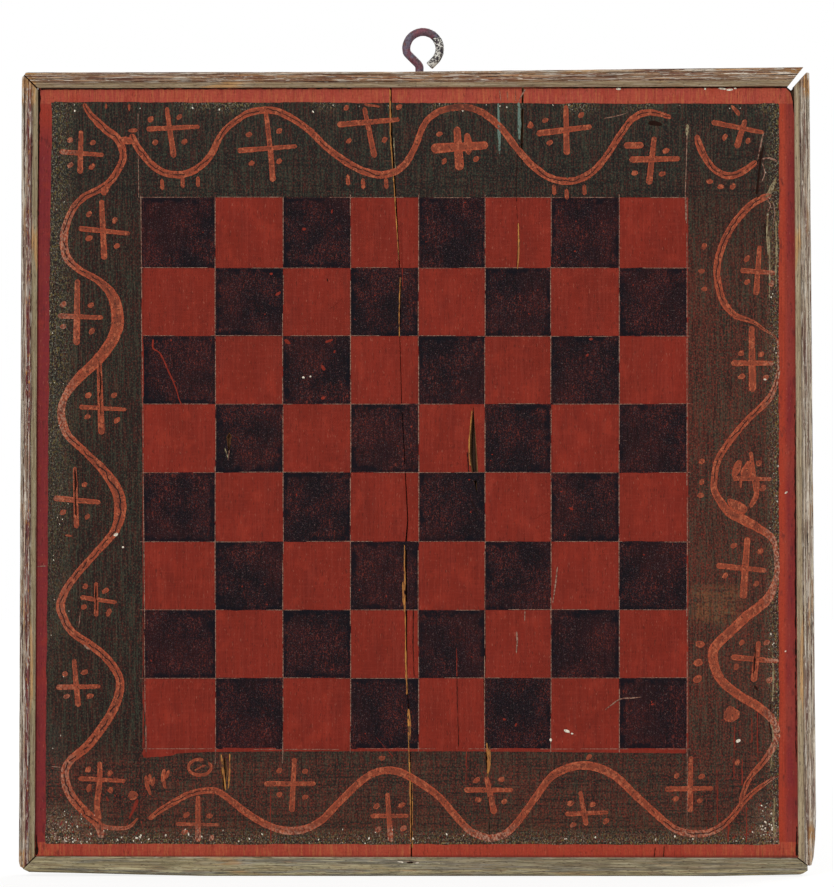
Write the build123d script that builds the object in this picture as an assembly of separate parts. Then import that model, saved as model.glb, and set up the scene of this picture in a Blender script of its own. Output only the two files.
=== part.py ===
from build123d import *
import os
from math import asin, cos, radians, sin, tan

# A painted wooden checkerboard that hangs by a screw hook in its top edge.
# Lengths are millimetres. X runs to the right and Z up across the painted face, and Y runs
# from the viewer into the wall. The origin is the centre of the hook's eye.

# Playing field: squares of one and a half inches, ruled by hand, so each line strays a little.
square = 38.1
squares_per_side = 8
field_left = -156.8
field_top = -83.7
column_strays = (0, 2.5, 2.2, 1.9, 1.9, 1.0, -0.1, -0.1, -0.2)
row_strays = (0, -1.4, -1.4, -1.4, -1.6, -2.2, -2.4, -2.4, -4.1)

# Panel: two boards of three-quarter inch pine, a little out of square, as (X, Z) corners.
panel_thickness = 19.0
top_left = (-215.4, -22.6)
top_right = (207.8, -21.6)
bottom_right = (210.0, -453.4)
bottom_left = (-217.3, -452.7)

# The joint between the boards wanders with the hand-planed edges. Each row holds X, Z and the
# width that the joint has opened to on the face.
seam = ((-18.0, -22.2, 0.8), (-17.5, -49.5, 1.0), (-15.0, -88.5, 0.8), (-12.5, -135.5, 0.4),
        (-13.0, -160.5, 0.35), (-12.0, -198.0, 0.4), (-8.5, -264.5, 0.6), (-9.5, -276.5, 0.9),
        (-9.5, -303.5, 1.1), (-9.0, -350.5, 0.45), (-7.5, -387.5, 0.7), (-6.5, -421.0, 0.6),
        (-6.5, -453.1, 0.7))
seam_depth = 5.0

# Shapes that cut others start and stop this far outside them.
overrun = 1.0

# Edge mouldings stand proud of the face and end flush with the back of the panel.
rim_height = 3.0
moulding_depth = panel_thickness + rim_height
rim_front = -moulding_depth / 2
back = moulding_depth / 2
face = rim_front + rim_height
fillet_width = 3.1
reed_count = 3
reed_height = 0.8
reed_facets = 6
bottom_rounding = 2.6

# Paint is laid as a red ground over the whole face, then a dark coat on the border and squares.
# The border's outer corners are (X, Z) points, because it was painted a little out of square.
ground_coat = 0.2
dark_coat = 0.15
border_corners = ((-208.0, -30.5), (199.0, -31.6), (199.0, -445.8), (-211.2, -445.4))

# Battens hold the boards together across the back.
batten_thickness = 12.0
batten_height = 40.0
batten_left = -196.0
batten_right = 190.0
batten_centres = {"upper_batten": -112.0, "lower_batten": -366.0}
batten_chamfer = 2.5

# Cut nails are sheared from plate, so two of their sides are parallel and two taper.
brad_length = 28.0
brad_plate = 1.3
brad_shank = 1.9
brad_tip = 0.9
brad_head = 2.6
brad_set = 0.4
nail_length = 26.0
nail_plate = 2.2
nail_shank = 3.0
nail_tip = 1.4
nail_head = 5.4
nail_set = 0.3
head_height = 1.2
pocket_reach = 4.0
brad_behind = 1.0
level_brad_places = (-184, -98, -40, 52, 122, 184)
upright_brad_places = (-46, -138, -232, -328, -424)
batten_nail_places = (-176, -106, -40, 34, 104, 170)
batten_nail_stagger = 9.0

# Screw hook: one wire, straight through the top moulding and bent to an open eye above it.
wire_radius = 2.3
eye_radius = 9.4
shank_x = -2.0
neck_lean = 45
neck_bend_radius = 3.5
shoulder_radius = 4.9
eye_sweep = 225
tail_length = 4.4
shank_bottom = -21.0
core_radius = 1.8
core_length = 15.0
point_length = 5.0
point_radius = 0.3
running_clearance = 0.05


def straight(start, end, place):
    """Height at place of the straight line through two (place, height) points."""
    return start[1] + (end[1] - start[1]) * (place - start[0]) / (end[0] - start[0])


def flat_outline(outline, depth):
    """A face at one depth behind the viewer, from (X, Z) points."""
    return make_face(Polyline([(x, depth, z) for x, z in outline], close=True))


def slab(outline, front, rear):
    """A piece of even thickness with the given (X, Z) outline, from depth front to depth rear."""
    return extrude(flat_outline(outline, front), amount=rear - front, dir=(0, 1, 0))


def gouge(rim, depth, narrowing, shortening=0.8):
    """A hollow torn into the face: its rim outline narrows and shortens to a slit at the bottom."""
    middle_x = sum(x for x, z in rim) / len(rim)
    middle_z = sum(z for x, z in rim) / len(rim)
    slit = [(middle_x + (x - middle_x) * narrowing, middle_z + (z - middle_z) * shortening)
            for x, z in rim]
    return loft([flat_outline(rim, above_paint), flat_outline(slit, face + depth)], ruled=True)


def cut_nail(point, outward, across, length, plate, shank, tip, head, rise=0.0):
    """A cut nail with its head's top at point. A rise lengthens the head into an open pocket."""
    outward_axis = Vector(*outward)
    across_axis = Vector(*across)
    plane = Plane(origin=point, x_dir=across_axis, z_dir=across_axis.cross(outward_axis))
    side = [(head / 2, rise), (head / 2, -head_height), (shank / 2, -head_height), (tip / 2, -length)]
    profile = Polyline(side + [(-x, y) for x, y in reversed(side)], close=True)
    return extrude(plane * make_face(profile), amount=plate / 2, both=True)


def reed_crown(near, breadth):
    """(Reach, depth) points over one reed's round crown, from quirk to quirk."""
    radius = (reed_height ** 2 + (breadth / 2) ** 2) / (2 * reed_height)
    half_turn = asin(breadth / 2 / radius)
    crown = []
    for facet in range(reed_facets + 1):
        turn = half_turn * (2 * facet / reed_facets - 1)
        crown.append((near + breadth / 2 + radius * sin(turn), rim_front + radius * (1 - cos(turn))))
    return crown


def reeded_section(point_at, width):
    """Cross-section of the reeded moulding: a flat fillet by the panel, then three reeds."""
    reed = (width - fillet_width) / reed_count
    outline = [(0, back), (0, rim_front), (fillet_width, rim_front)]
    for number in range(reed_count):
        crown = reed_crown(fillet_width + reed * number, reed)
        outline += crown if number == 0 else crown[1:]
    outline.append((width, back))
    return make_face(Polyline([point_at(reach, depth) for reach, depth in outline], close=True))


def plain_section(point_at, width):
    """Cross-section of the plain bottom strip, with its outer front arris rounded off."""
    shoulder = width - bottom_rounding
    bend = bottom_rounding * (1 - cos(radians(45)))
    outline = [Line(point_at(0, back), point_at(0, rim_front)),
               Line(point_at(0, rim_front), point_at(shoulder, rim_front)),
               ThreePointArc(point_at(shoulder, rim_front),
                             point_at(width - bend, rim_front + bend),
                             point_at(width, rim_front + bottom_rounding)),
               Line(point_at(width, rim_front + bottom_rounding), point_at(width, back)),
               Line(point_at(width, back), point_at(0, back))]
    return make_face(outline)


def moulding_run(section, stations, outward, plan):
    """A moulding lofted through its stations, then cut to its mitres and worn corners by plan.

    A station is the (X, Z) point on the panel's edge and the moulding's width there.
    """
    faces = []
    for (x, z), width in stations:
        def point_at(reach, depth, x=x, z=z):
            return (x + outward[0] * reach, depth, z + outward[1] * reach)
        faces.append(section(point_at, width))
    runs = [loft(list(pair), ruled=True) for pair in zip(faces, faces[1:])]
    return sum(runs[1:], runs[0]) & slab(plan, rim_front - overrun, back + overrun)


# Lines of the playing field, from left to right and from top to bottom.
columns = [field_left + square * number + stray for number, stray in enumerate(column_strays)]
rows = [field_top - square * number + stray for number, stray in enumerate(row_strays)]

seam_line = [(x, z) for x, z, opening in seam]
seam_top = seam_line[0]
seam_bottom = seam_line[-1]


def top_edge(x):
    """Z of the panel's top edge, which kinks where the two boards meet."""
    if x < seam_top[0]:
        return straight(top_left, seam_top, x)
    return straight(seam_top, top_right, x)


def bottom_edge(x):
    """Z of the panel's bottom edge."""
    return straight(bottom_left, bottom_right, x)


def left_edge(z):
    """X of the panel's left edge."""
    return straight(top_left[::-1], bottom_left[::-1], z)


def right_edge(z):
    """X of the panel's right edge."""
    return straight(top_right[::-1], bottom_right[::-1], z)


seam_foot = (seam_bottom[0], bottom_edge(seam_bottom[0]))
joint_line = seam_line[:-1] + [seam_foot]

# Mouldings: each plan outline is exact at the mitred ends and generous along the sides.
top_widths = ((-226.0, 8.9), (seam_top[0], 8.8), (216.0, 10.8))
left_widths = ((-8.0, 9.2), (-466.0, 8.9))
right_widths = ((-8.0, 8.5), (-466.0, 10.3))
bottom_widths = ((-227.0, 8.6), (-125.0, 10.8), (164.0, 10.4), (222.0, 9.2))

top_plan = [(-215.6, -22.4), (-223.0, -15.1), (-222.4, -14.1), (-220.6, -13.2), (-218.0, -4.0),
            (218.4, -4.0), (204.0, -21.9), (200.0, -27.0), (-208.0, -27.0)]
left_plan = [(-216.0, -23.2), (-223.4, -15.6), (-224.3, -16.4), (-224.7, -18.0), (-232.0, -24.0),
             (-232.0, -452.0), (-226.2, -455.3), (-225.5, -458.2), (-223.9, -459.1),
             (-217.0, -452.1), (-211.0, -446.0), (-211.0, -28.0)]
right_plan = [(203.0, -26.9), (206.1, -23.4), (214.7, -13.8), (215.8, -14.0), (226.0, -24.0),
              (226.0, -410.0), (220.1, -424.0), (219.5, -443.0), (218.5, -453.3),
              (217.4, -457.4), (215.9, -457.9), (215.4, -457.4), (204.0, -448.6)]
bottom_plan = [(-216.9, -453.1), (-223.8, -459.6), (-220.5, -461.3), (-214.0, -470.0),
               (206.0, -470.0), (210.4, -462.9), (212.8, -462.1), (215.3, -460.4),
               (215.2, -458.0), (209.6, -453.8), (200.0, -446.0), (-209.0, -446.0)]

top_moulding = moulding_run(
    reeded_section, [((x, top_edge(x)), width) for x, width in top_widths], (0, 1), top_plan)
left_moulding = moulding_run(
    reeded_section, [((left_edge(z), z), width) for z, width in left_widths], (-1, 0), left_plan)
right_moulding = moulding_run(
    reeded_section, [((right_edge(z), z), width) for z, width in right_widths], (1, 0), right_plan)
bottom_moulding = moulding_run(
    plain_section, [((x, bottom_edge(x)), width) for x, width in bottom_widths], (0, -1), bottom_plan)

# Boards, one each side of the wandering joint.
left_outline = [top_left] + joint_line + [bottom_left]
right_outline = joint_line + [bottom_right, top_right]
left_board = slab(left_outline, face, back)
right_board = slab(right_outline, face, back)

# Age has opened the joint, split the boards along their grain and torn the face in places.
above_paint = face - overrun
opened_left = [(x - opening / 2, z) for x, z, opening in seam]
opened_right = [(x + opening / 2, z) for x, z, opening in reversed(seam)]
joint_top = seam_top[1] + overrun
joint_bottom = seam_bottom[1] - overrun
open_joint = slab([(opened_left[0][0], joint_top)] + opened_left[1:-1] + [(opened_left[-1][0], joint_bottom)]
                  + [(opened_right[0][0], joint_bottom)] + opened_right[1:-1]
                  + [(opened_right[-1][0], joint_top)], above_paint, face + seam_depth)
spindle_gouge = gouge([(28.2, -199.2), (26.3, -213.0), (25.0, -227.0), (27.2, -238.0), (30.8, -252.0),
                       (31.6, -244.0), (30.5, -228.0), (29.3, -214.0)], 5.0, 0.25)
small_gouge = gouge([(-108.6, -215.0), (-110.2, -217.8), (-109.3, -224.0), (-109.0, -230.0),
                     (-107.9, -223.0), (-107.0, -217.0)], 3.0, 0.3)
foot_split = gouge([(-110.9, -396.0), (-113.6, -405.0), (-111.6, -417.5), (-108.6, -405.0)], 3.0, 0.3)
knot_split = gouge([(36.4, -388.0), (34.6, -396.0), (36.0, -409.5), (38.2, -396.0)], 3.5, 0.3)
top_check = gouge([(55.4, -21.0), (54.6, -45.0), (55.2, -74.0), (56.2, -45.0), (56.6, -21.0)], 3.5, 0.4)
lower_check = gouge([(34.6, -304.0), (33.7, -350.0), (34.4, -388.0), (34.5, -350.0)], 2.0, 0.4)
wounds = [open_joint, spindle_gouge, small_gouge, foot_split, knot_split, top_check, lower_check]

# The panel's top right corner is gone behind the open mitre, and its front arris is worn round.
corner_wear_depth = 4.0
corner_notch = slab([(203.6, -18.0), (204.0, -21.7), (206.2, -23.6), (210.0, -20.0)],
                    above_paint, back + overrun)
worn_corner = slab([(203.0, -20.0), (203.2, -22.2), (205.8, -25.2), (207.0, -29.6), (207.5, -36.0),
                    (211.0, -36.0), (211.0, -20.0)], above_paint, face + corner_wear_depth)
wounds += [corner_notch, worn_corner]

# Brads through each moulding into the panel's edge, with their heads set just under the surface.
brad_sizes = (brad_length, brad_plate, brad_shank, brad_tip, brad_head)


def moulding_brads(name, rise):
    """The brads of one moulding, or their pockets in the wood when rise is above zero."""
    brads = []
    if name in ("top", "bottom"):
        widths = top_widths if name == "top" else bottom_widths
        edge = top_edge if name == "top" else bottom_edge
        sign = 1 if name == "top" else -1
        for x in level_brad_places:
            span = [pair for pair in zip(widths, widths[1:]) if pair[0][0] <= x <= pair[1][0]][0]
            head = edge(x) + sign * (straight(span[0], span[1], x) - brad_set)
            brads.append(cut_nail((x, brad_behind, head), (0, 0, sign), (1, 0, 0), *brad_sizes, rise))
    else:
        widths = left_widths if name == "left" else right_widths
        edge = left_edge if name == "left" else right_edge
        sign = -1 if name == "left" else 1
        for z in upright_brad_places:
            span = [pair for pair in zip(widths, widths[1:]) if pair[0][0] >= z >= pair[1][0]][0]
            head = edge(z) + sign * (straight(span[0], span[1], z) - brad_set)
            brads.append(cut_nail((head, brad_behind, z), (sign, 0, 0), (0, 0, 1), *brad_sizes, rise))
    return brads


mouldings = {"top": top_moulding, "left": left_moulding, "right": right_moulding, "bottom": bottom_moulding}
brads = {name: moulding_brads(name, 0.0) for name in mouldings}
brad_pockets = {name: moulding_brads(name, pocket_reach) for name in mouldings}

# Battens across the back, each nailed three times into each board.
batten_back = back + batten_thickness
nail_sizes = (nail_length, nail_plate, nail_shank, nail_tip, nail_head)


def batten(centre):
    """One batten with its back arrises and ends chamfered."""
    blank = Pos((batten_left + batten_right) / 2, back + batten_thickness / 2, centre) * Box(
        batten_right - batten_left, batten_thickness, batten_height)
    return chamfer(blank.faces().sort_by(Axis.Y)[-1].edges(), batten_chamfer)


def batten_nails(centre, rise):
    """The nails of one batten in a zigzag, or their pockets when rise is above zero."""
    nails = []
    for number, x in enumerate(batten_nail_places):
        z = centre + (batten_nail_stagger if number % 2 else -batten_nail_stagger)
        nails.append(cut_nail((x, batten_back - nail_set, z), (0, 1, 0), (1, 0, 0), *nail_sizes, rise))
    return nails


battens = {name: batten(centre) for name, centre in batten_centres.items()}
nails = {name: batten_nails(centre, 0.0) for name, centre in batten_centres.items()}
nail_pockets = {name: batten_nails(centre, pocket_reach) for name, centre in batten_centres.items()}

# Screw hook. The neck leans from the shank to the left, to meet the eye at its left side.
lean = radians(neck_lean)
shoulder_start = (-eye_radius + shoulder_radius * (1 - cos(lean)), -shoulder_radius * sin(lean))
neck_corner = (shank_x, shoulder_start[1] - (shank_x - shoulder_start[0]) / tan(lean))
shank_top = (shank_x, neck_corner[1] - neck_bend_radius * tan(lean / 2))
neck_start = JernArc(start=shank_top, tangent=(0, 1), radius=neck_bend_radius, arc_size=neck_lean)
neck = Line(neck_start @ 1, shoulder_start)
shoulder = JernArc(start=shoulder_start, tangent=neck % 1, radius=shoulder_radius, arc_size=-neck_lean)
eye = JernArc(start=shoulder @ 1, tangent=(0, 1), radius=eye_radius, arc_size=-eye_sweep)
tail_end = (eye @ 1) + (eye % 1) * tail_length
wire_line = Plane.XZ * Wire([Line((shank_x, shank_bottom), shank_top), neck_start, neck, shoulder, eye,
                             Line(eye @ 1, tail_end)])
wire_start = Plane(origin=wire_line @ 0, z_dir=wire_line % 0)
wire = sweep(wire_start * Circle(wire_radius), path=wire_line)
down = (Align.CENTER, Align.CENTER, Align.MAX)
core = Pos(shank_x, 0, shank_bottom) * Cylinder(core_radius, core_length, align=down)
screw_point = Pos(shank_x, 0, shank_bottom - core_length) * Cone(
    point_radius, core_radius, point_length, align=down)
screw_hook = wire + core + screw_point

shank_hole = Pos(shank_x, 0, 0) * Cylinder(wire_radius + running_clearance, -shank_bottom, align=down)
core_hole = Pos(shank_x, 0, shank_bottom + overrun) * Cylinder(
    core_radius + running_clearance, core_length + point_length + 2 * overrun, align=down)

# Paint. The ground follows the panel, the dark coat frames the field and fills every other square.
ground_front = face - ground_coat
dark_front = ground_front - dark_coat
red_ground = slab(left_outline, ground_front, face) + slab(right_outline, ground_front, face)
field = [(columns[0], rows[0]), (columns[-1], rows[0]), (columns[-1], rows[-1]), (columns[0], rows[-1])]
dark_border = slab(border_corners, dark_front, ground_front) - slab(
    field, dark_front - overrun, ground_front + overrun)
dark_tiles = []
for row in range(squares_per_side):
    for column in range(squares_per_side):
        if (row + column) % 2 == 0:
            left, right = columns[column], columns[column + 1]
            top, bottom = rows[row], rows[row + 1]
            tile = [(left, top), (right, top), (right, bottom), (left, bottom)]
            dark_tiles.append(slab(tile, dark_front, ground_front))

# Wood is cleared for the nails and the hook, and wood and paint alike for the wounds.
boards = {"left_board": left_board, "right_board": right_board}
all_pockets = [pocket for group in (brad_pockets, nail_pockets) for pockets in group.values()
               for pocket in pockets]
for name, board in boards.items():
    boards[name] = board - all_pockets - wounds - [shank_hole, core_hole]
for name, moulding in mouldings.items():
    mouldings[name] = moulding - brad_pockets[name]
mouldings["top"] = mouldings["top"] - [shank_hole, core_hole]
for name in battens:
    battens[name] = battens[name] - nail_pockets[name]
red_ground = red_ground - wounds
dark_border = dark_border - wounds
dark_squares = [piece for tile in dark_tiles for piece in (tile - wounds).solids()]

nodes = dict(boards)
nodes.update(battens)
nodes["screw_hook"] = screw_hook
nodes["red_ground"] = red_ground
nodes["dark_border"] = dark_border
nodes["dark_squares"] = dark_squares
for name in mouldings:
    nodes[name + "_moulding"] = mouldings[name]
    nodes[name + "_moulding_brads"] = brads[name]
for name in battens:
    nodes[name + "_nails"] = nails[name]

os.makedirs("parts", exist_ok=True)
for name, shape in nodes.items():
    pieces = shape if isinstance(shape, list) else [shape]
    solids = [solid for piece in pieces for solid in piece.solids()]
    export_step(Compound(children=solids) if len(solids) > 1 else solids[0], "parts/" + name + ".step")
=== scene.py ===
"""Looks of a hand-painted wooden checkerboard that hangs by a screw hook, built round its frame."""

import random
from math import atan2, cos, degrees, hypot, pi, radians, sin, sqrt

import bmesh
import bpy
from bpy.props import FloatProperty, FloatVectorProperty, PointerProperty
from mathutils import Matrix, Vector, noise


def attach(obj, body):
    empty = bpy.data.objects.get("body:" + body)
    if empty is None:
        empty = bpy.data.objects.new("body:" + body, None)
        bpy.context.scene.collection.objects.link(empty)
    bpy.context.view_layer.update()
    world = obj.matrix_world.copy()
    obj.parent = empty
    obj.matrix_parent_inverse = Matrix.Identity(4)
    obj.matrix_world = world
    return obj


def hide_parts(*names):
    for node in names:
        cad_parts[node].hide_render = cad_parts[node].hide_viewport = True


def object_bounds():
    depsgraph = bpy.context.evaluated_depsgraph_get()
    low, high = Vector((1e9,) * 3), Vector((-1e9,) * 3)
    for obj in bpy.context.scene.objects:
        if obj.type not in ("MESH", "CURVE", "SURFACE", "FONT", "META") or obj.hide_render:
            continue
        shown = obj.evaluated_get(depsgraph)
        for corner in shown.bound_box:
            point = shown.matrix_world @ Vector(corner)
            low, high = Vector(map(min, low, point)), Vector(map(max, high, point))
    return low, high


bl_info = {
    "name": "Painted Checkerboard",
    "version": (1, 0, 0),
    "blender": (4, 5, 0),
    "location": "View3D > Sidebar > Checkerboard",
    "description": "Dresses a painted checkerboard in its paint, mouldings and hook",
    "category": "Object",
}

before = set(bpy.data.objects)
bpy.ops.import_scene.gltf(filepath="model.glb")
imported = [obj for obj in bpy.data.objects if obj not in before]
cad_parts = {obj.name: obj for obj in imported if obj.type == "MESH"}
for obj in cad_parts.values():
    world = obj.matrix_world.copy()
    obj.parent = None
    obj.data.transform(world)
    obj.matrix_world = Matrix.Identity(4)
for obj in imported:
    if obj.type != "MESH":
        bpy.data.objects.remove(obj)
cad_low, cad_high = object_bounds()

MM = 0.001
SQUARES = 8

# Sockets of the Mix node for colours.
UNDER, OVER, MIXED = 6, 7, 2


def linear(hex_colour):
    """The linear red, green and blue of an sRGB hex colour."""
    parts = [int(hex_colour[place:place + 2], 16) / 255 for place in (1, 3, 5)]
    return [part / 12.92 if part <= 0.04045 else ((part + 0.055) / 1.055) ** 2.4 for part in parts]


def tint(colour):
    """The linear colour with full alpha of a hex value, or of a finish that a user can change."""
    is_hex = colour.startswith("#")
    return (*(linear(colour) if is_hex else getattr(bpy.context.scene.board_colours, colour)), 1.0)


# Sizes and colours that a user would change.

def length(name, description, millimetres):
    """A length property given in millimetres and kept in metres."""
    return FloatProperty(name=name, description=description, default=millimetres * MM,
                         subtype="DISTANCE", unit="LENGTH", precision=5)


def paint(name, description, hex_colour):
    """A colour property with its default given as an sRGB hex value."""
    return FloatVectorProperty(name=name, description=description, size=3, min=0.0, max=1.0,
                               subtype="COLOR", default=linear(hex_colour))


class BoardSizes(bpy.types.PropertyGroup):
    """Levels of the panel and its mouldings."""

    face: length("Face", "Depth of the boards' bare face", -8.0)
    ground: length("Ground coat", "Thickness of the red ground coat", 0.2)
    dark: length("Dark coat", "Thickness of the dark coat on the border and squares", 0.15)
    rim_front: length("Rim front", "Depth of the mouldings' front", -11.0)
    back: length("Back", "Depth of the boards' back", 11.0)
    weathering: length("Weathering", "How deep the soft grain of the mouldings has worn", 0.16)

    @property
    def ground_face(self):
        """Depth of the ground coat's face."""
        return self.face - self.ground

    @property
    def dark_face(self):
        """Depth of the dark coats' face, on which the ornament and the wear lie."""
        return self.face - self.ground - self.dark


class BrushSizes(bpy.types.PropertyGroup):
    """How the painter's and ruler's marks lie on the face."""

    stroke_step: length("Stroke step", "Distance between the rows of a brush stroke's mesh", 1.3)
    ridge: length("Ridge", "Height of the ridge that a brush leaves along a stroke's edge", 0.13)
    wander: length("Wander", "How far the edges of a coat wander from their line", 0.55)
    scribe_width: length("Scribed line width", "Width of the lines scratched round the squares", 0.42)
    dot: length("Dot radius", "Radius of the dots between the arms of a cross", 1.75)
    rim_stroke: length("Rim stroke", "Width of the stroke that cuts in each dark square's edge", 4.5)


class HookSizes(bpy.types.PropertyGroup):
    """The screw hook's wire."""

    wire_radius: length("Wire radius", "Radius of the hook's wire", 2.3)
    eye_radius: length("Eye radius", "Radius of the eye's centreline", 9.4)
    shank_x: length("Shank offset", "Where the shank stands, left of the eye's centre", -2.0)
    pitting: length("Pitting", "Depth of the rust pits", 0.11)
    paint_film: length("Paint film", "Thickness of the old white paint left on the wire", 0.12)


class FinishColours(bpy.types.PropertyGroup):
    """Colours of the paints, woods and irons."""

    brick: paint("Brick red", "Red squares", "#6B1D10")
    crimson: paint("Crimson", "Outer half of the ground in the side bands", "#6C2226")
    orange_band: paint("Orange band", "Ground in the top and bottom bands", "#963F32")
    border: paint("Border", "Dark coat of the border", "#20140F")
    border_green: paint("Border green", "Greener part of the dark coat, above the field", "#1A1B18")
    border_red: paint("Border red", "Redder part of the dark coat, below and right", "#40231A")
    black: paint("Black", "Dark squares", "#0A0508")
    blue_black: paint("Blue black", "Loaded strokes at the dark squares' edges", "#06060D")
    ornament: paint("Ornament", "Vine, crosses and dots", "#803A24")
    olive: paint("Olive", "Old paint on the mouldings", "#877A5F")
    cream: paint("Cream", "Palest paint on the mouldings", "#CFC6B8")
    maroon: paint("Maroon", "Older paint left in the mouldings' quirks", "#522223")
    bare_wood: paint("Bare wood", "Wood rubbed bare on the mouldings", "#B08555")
    pine: paint("Pine", "Aged bare pine of the boards", "#9A7148")
    iron: paint("Iron", "Rusted iron", "#5A434A")
    hook_paint: paint("Hook paint", "Flaked white paint on the hook", "#CFCBC2")


# Mesh helpers. Plan points are (X, Z) in millimetres, across the painted face.

def spot(x, z, depth):
    """A point in metres from its plan place in millimetres and its depth in metres."""
    return Vector((x * MM, depth, z * MM))


def drift(place, size, seed):
    """Smooth noise from -1 to 1 at a plan place in millimetres, with waves about size long."""
    return noise.noise(Vector((place[0] / size, place[1] / size, seed * 7.31)))


def along_line(line, place):
    """Height at place of a chain of (place, height) points, run on straight beyond its ends."""
    for start, end in zip(line, line[1:]):
        if place <= end[0] or end is line[-1]:
            return start[1] + (end[1] - start[1]) * (place - start[0]) / (end[0] - start[0])


def bent_grid(bm, across, along, place, chart=None):
    """A grid bent into shape. Place gives a corner's point from its two shares, and chart its UV."""
    uv_layer = bm.loops.layers.uv.verify()
    made = bmesh.ops.create_grid(bm, x_segments=across, y_segments=along, size=1.0)["verts"]
    shares = {vert: ((vert.co.x + 1) / 2, (vert.co.y + 1) / 2) for vert in made}
    for vert, (u, v) in shares.items():
        vert.co = place(u, v)
        for loop in vert.link_loops:
            loop[uv_layer].uv = chart(u, v) if chart else (u, v)
    return made


def smooth_line(points, step):
    """A smooth line through (X, Z, width) points, with a point about every step millimetres."""
    line = []
    ends = [points[0], *points, points[-1]]
    for before, start, end, after in zip(ends, ends[1:], ends[2:], ends[3:]):
        count = max(2, round(hypot(end[0] - start[0], end[1] - start[1]) / step))
        for number in range(count):
            t = number / count
            line.append(tuple(
                b + 0.5 * t * (c - a + t * (2 * a - 5 * b + 4 * c - d + t * (3 * (b - c) + d - a)))
                for a, b, c, d in zip(before, start, end, after)))
    line.append(tuple(points[-1]))
    return line


def stroke(bm, points, base, seed, ridge=None, ragged=0.22, blunt=0.5):
    """One brush stroke on the face at depth base, through (X, Z, width) points in millimetres.

    Its UV runs from 0 to 1 across it, and in metres along it.
    """
    sizes = bpy.context.scene.board_brush
    ridge = sizes.ridge if ridge is None else ridge
    line = smooth_line(points, sizes.stroke_step / MM)
    travelled = [0.0]
    for start, end in zip(line, line[1:]):
        travelled.append(travelled[-1] + hypot(end[0] - start[0], end[1] - start[1]))
    across = 8

    def place(u, v):
        number = round(v * (len(line) - 1))
        x, z, width = line[number]
        before, after = line[max(number - 1, 0)], line[min(number + 1, len(line) - 1)]
        heading = Vector((after[0] - before[0], after[1] - before[1])).normalized()
        reach = blunt * width
        from_end = min(travelled[number], travelled[-1] - travelled[number])
        rounding = sqrt(max(0.02, 1 - max(0, 1 - from_end / reach) ** 2)) if reach > 0 else 1
        side = (u - 0.5) * width * rounding
        rag = ragged * drift((x, z), 2.4, seed + (3 if u > 0.5 else 0)) * abs(2 * u - 1)
        side += rag
        bristle = 0.25 * drift((u * 14, travelled[number] * 0.2), 1.0, seed + 9)
        shape = 1 - (2 * abs(u - 0.5)) ** 6
        crown = (0.55 + 0.45 * (2 * abs(u - 0.5)) ** 2 + bristle) * shape
        depth = base + 0.02 * MM * (1 - shape) - ridge * crown
        return spot(x + heading.y * side, z - heading.x * side, depth)

    def chart(u, v):
        return (u, travelled[round(v * (len(line) - 1))] * MM)

    return bent_grid(bm, across, len(line) - 1, place, chart)


def dab(bm, x, z, long, wide, tilt, base, height, seed, segments=12):
    """A daub of paint or a chip: a low uneven mound at a plan place, tilted in degrees."""
    uv_layer = bm.loops.layers.uv.verify()
    made = bmesh.ops.create_cone(bm, segments=segments, radius1=1.0, radius2=0.62, depth=1.0,
                                 cap_ends=True)["verts"]
    turn = radians(tilt)
    for vert in made:
        size = 1 + 0.28 * noise.noise(Vector((vert.co.x * 1.7, vert.co.y * 1.7, seed * 3.7)))
        a, b = vert.co.x * long * size, vert.co.y * wide * size
        raised = vert.co.z > 0
        vert.co = spot(x + a * cos(turn) - b * sin(turn), z + a * sin(turn) + b * cos(turn),
                       base - height if raised else base + 0.03 * MM)
        for loop in vert.link_loops:
            loop[uv_layer].uv = (0.3 if raised else 0.05, seed * 0.37)
    return made


def new_object(name, bm):
    """The finished bmesh as an object of the scene."""
    mesh = bpy.data.meshes.new(name)
    bm.to_mesh(mesh)
    bm.free()
    piece = bpy.data.objects.new(name, mesh)
    bpy.context.scene.collection.objects.link(piece)
    return piece


def new_piece(name, bm, materials, slot, body="root", closed=True):
    """A smooth piece that rides on a body and takes the given materials. Its slot is not used."""
    if closed:
        bmesh.ops.recalc_face_normals(bm, faces=bm.faces)
    piece = new_object(name, bm)
    piece.data.shade_smooth()
    for material in materials:
        piece.data.materials.append(material)
    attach(piece, body)
    return piece


def new_film(name, bm, material, slot):
    """An open film of paint or dirt, all of which faces the viewer."""
    bm.normal_update()
    bmesh.ops.reverse_faces(bm, faces=[face for face in bm.faces if face.normal.y > 0.05])
    return new_piece(name, bm, [material], slot, closed=False)


def dress(node, material):
    """Gives a CAD node its material."""
    node.data.materials.clear()
    node.data.materials.append(material)


# Material helpers.

class Value:
    """What a node gives. It takes arithmetic like a number, and | takes the larger of two."""

    def __init__(self, look, socket):
        self.look = look
        self.socket = socket

    def math(self, operation, *inputs):
        return self.look.add("Math", dict(enumerate(inputs)), operation=operation)

    def __add__(self, other):
        return self.math("ADD", self, other)

    def __sub__(self, other):
        return self.math("SUBTRACT", self, other)

    def __rsub__(self, other):
        return self.math("SUBTRACT", other, self)

    def __mul__(self, other):
        return self.math("MULTIPLY", self, other)

    def __or__(self, other):
        return self.math("MAXIMUM", self, other)

    def __abs__(self):
        return self.math("ABSOLUTE", self)

    __rmul__, __ror__ = __mul__, __or__

    def ramp(self, start, end, first=0.0, last=1.0):
        """Goes from first to last as this goes from start to end."""
        return self.look.add("MapRange", {"Value": self, "From Min": start, "From Max": end,
                                          "To Min": first, "To Max": last})

    def beyond(self, start, end):
        """A mask that rises from 0 to 1 as this goes from start to end, in millimetres."""
        return self.ramp(start * MM, end * MM)


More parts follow.
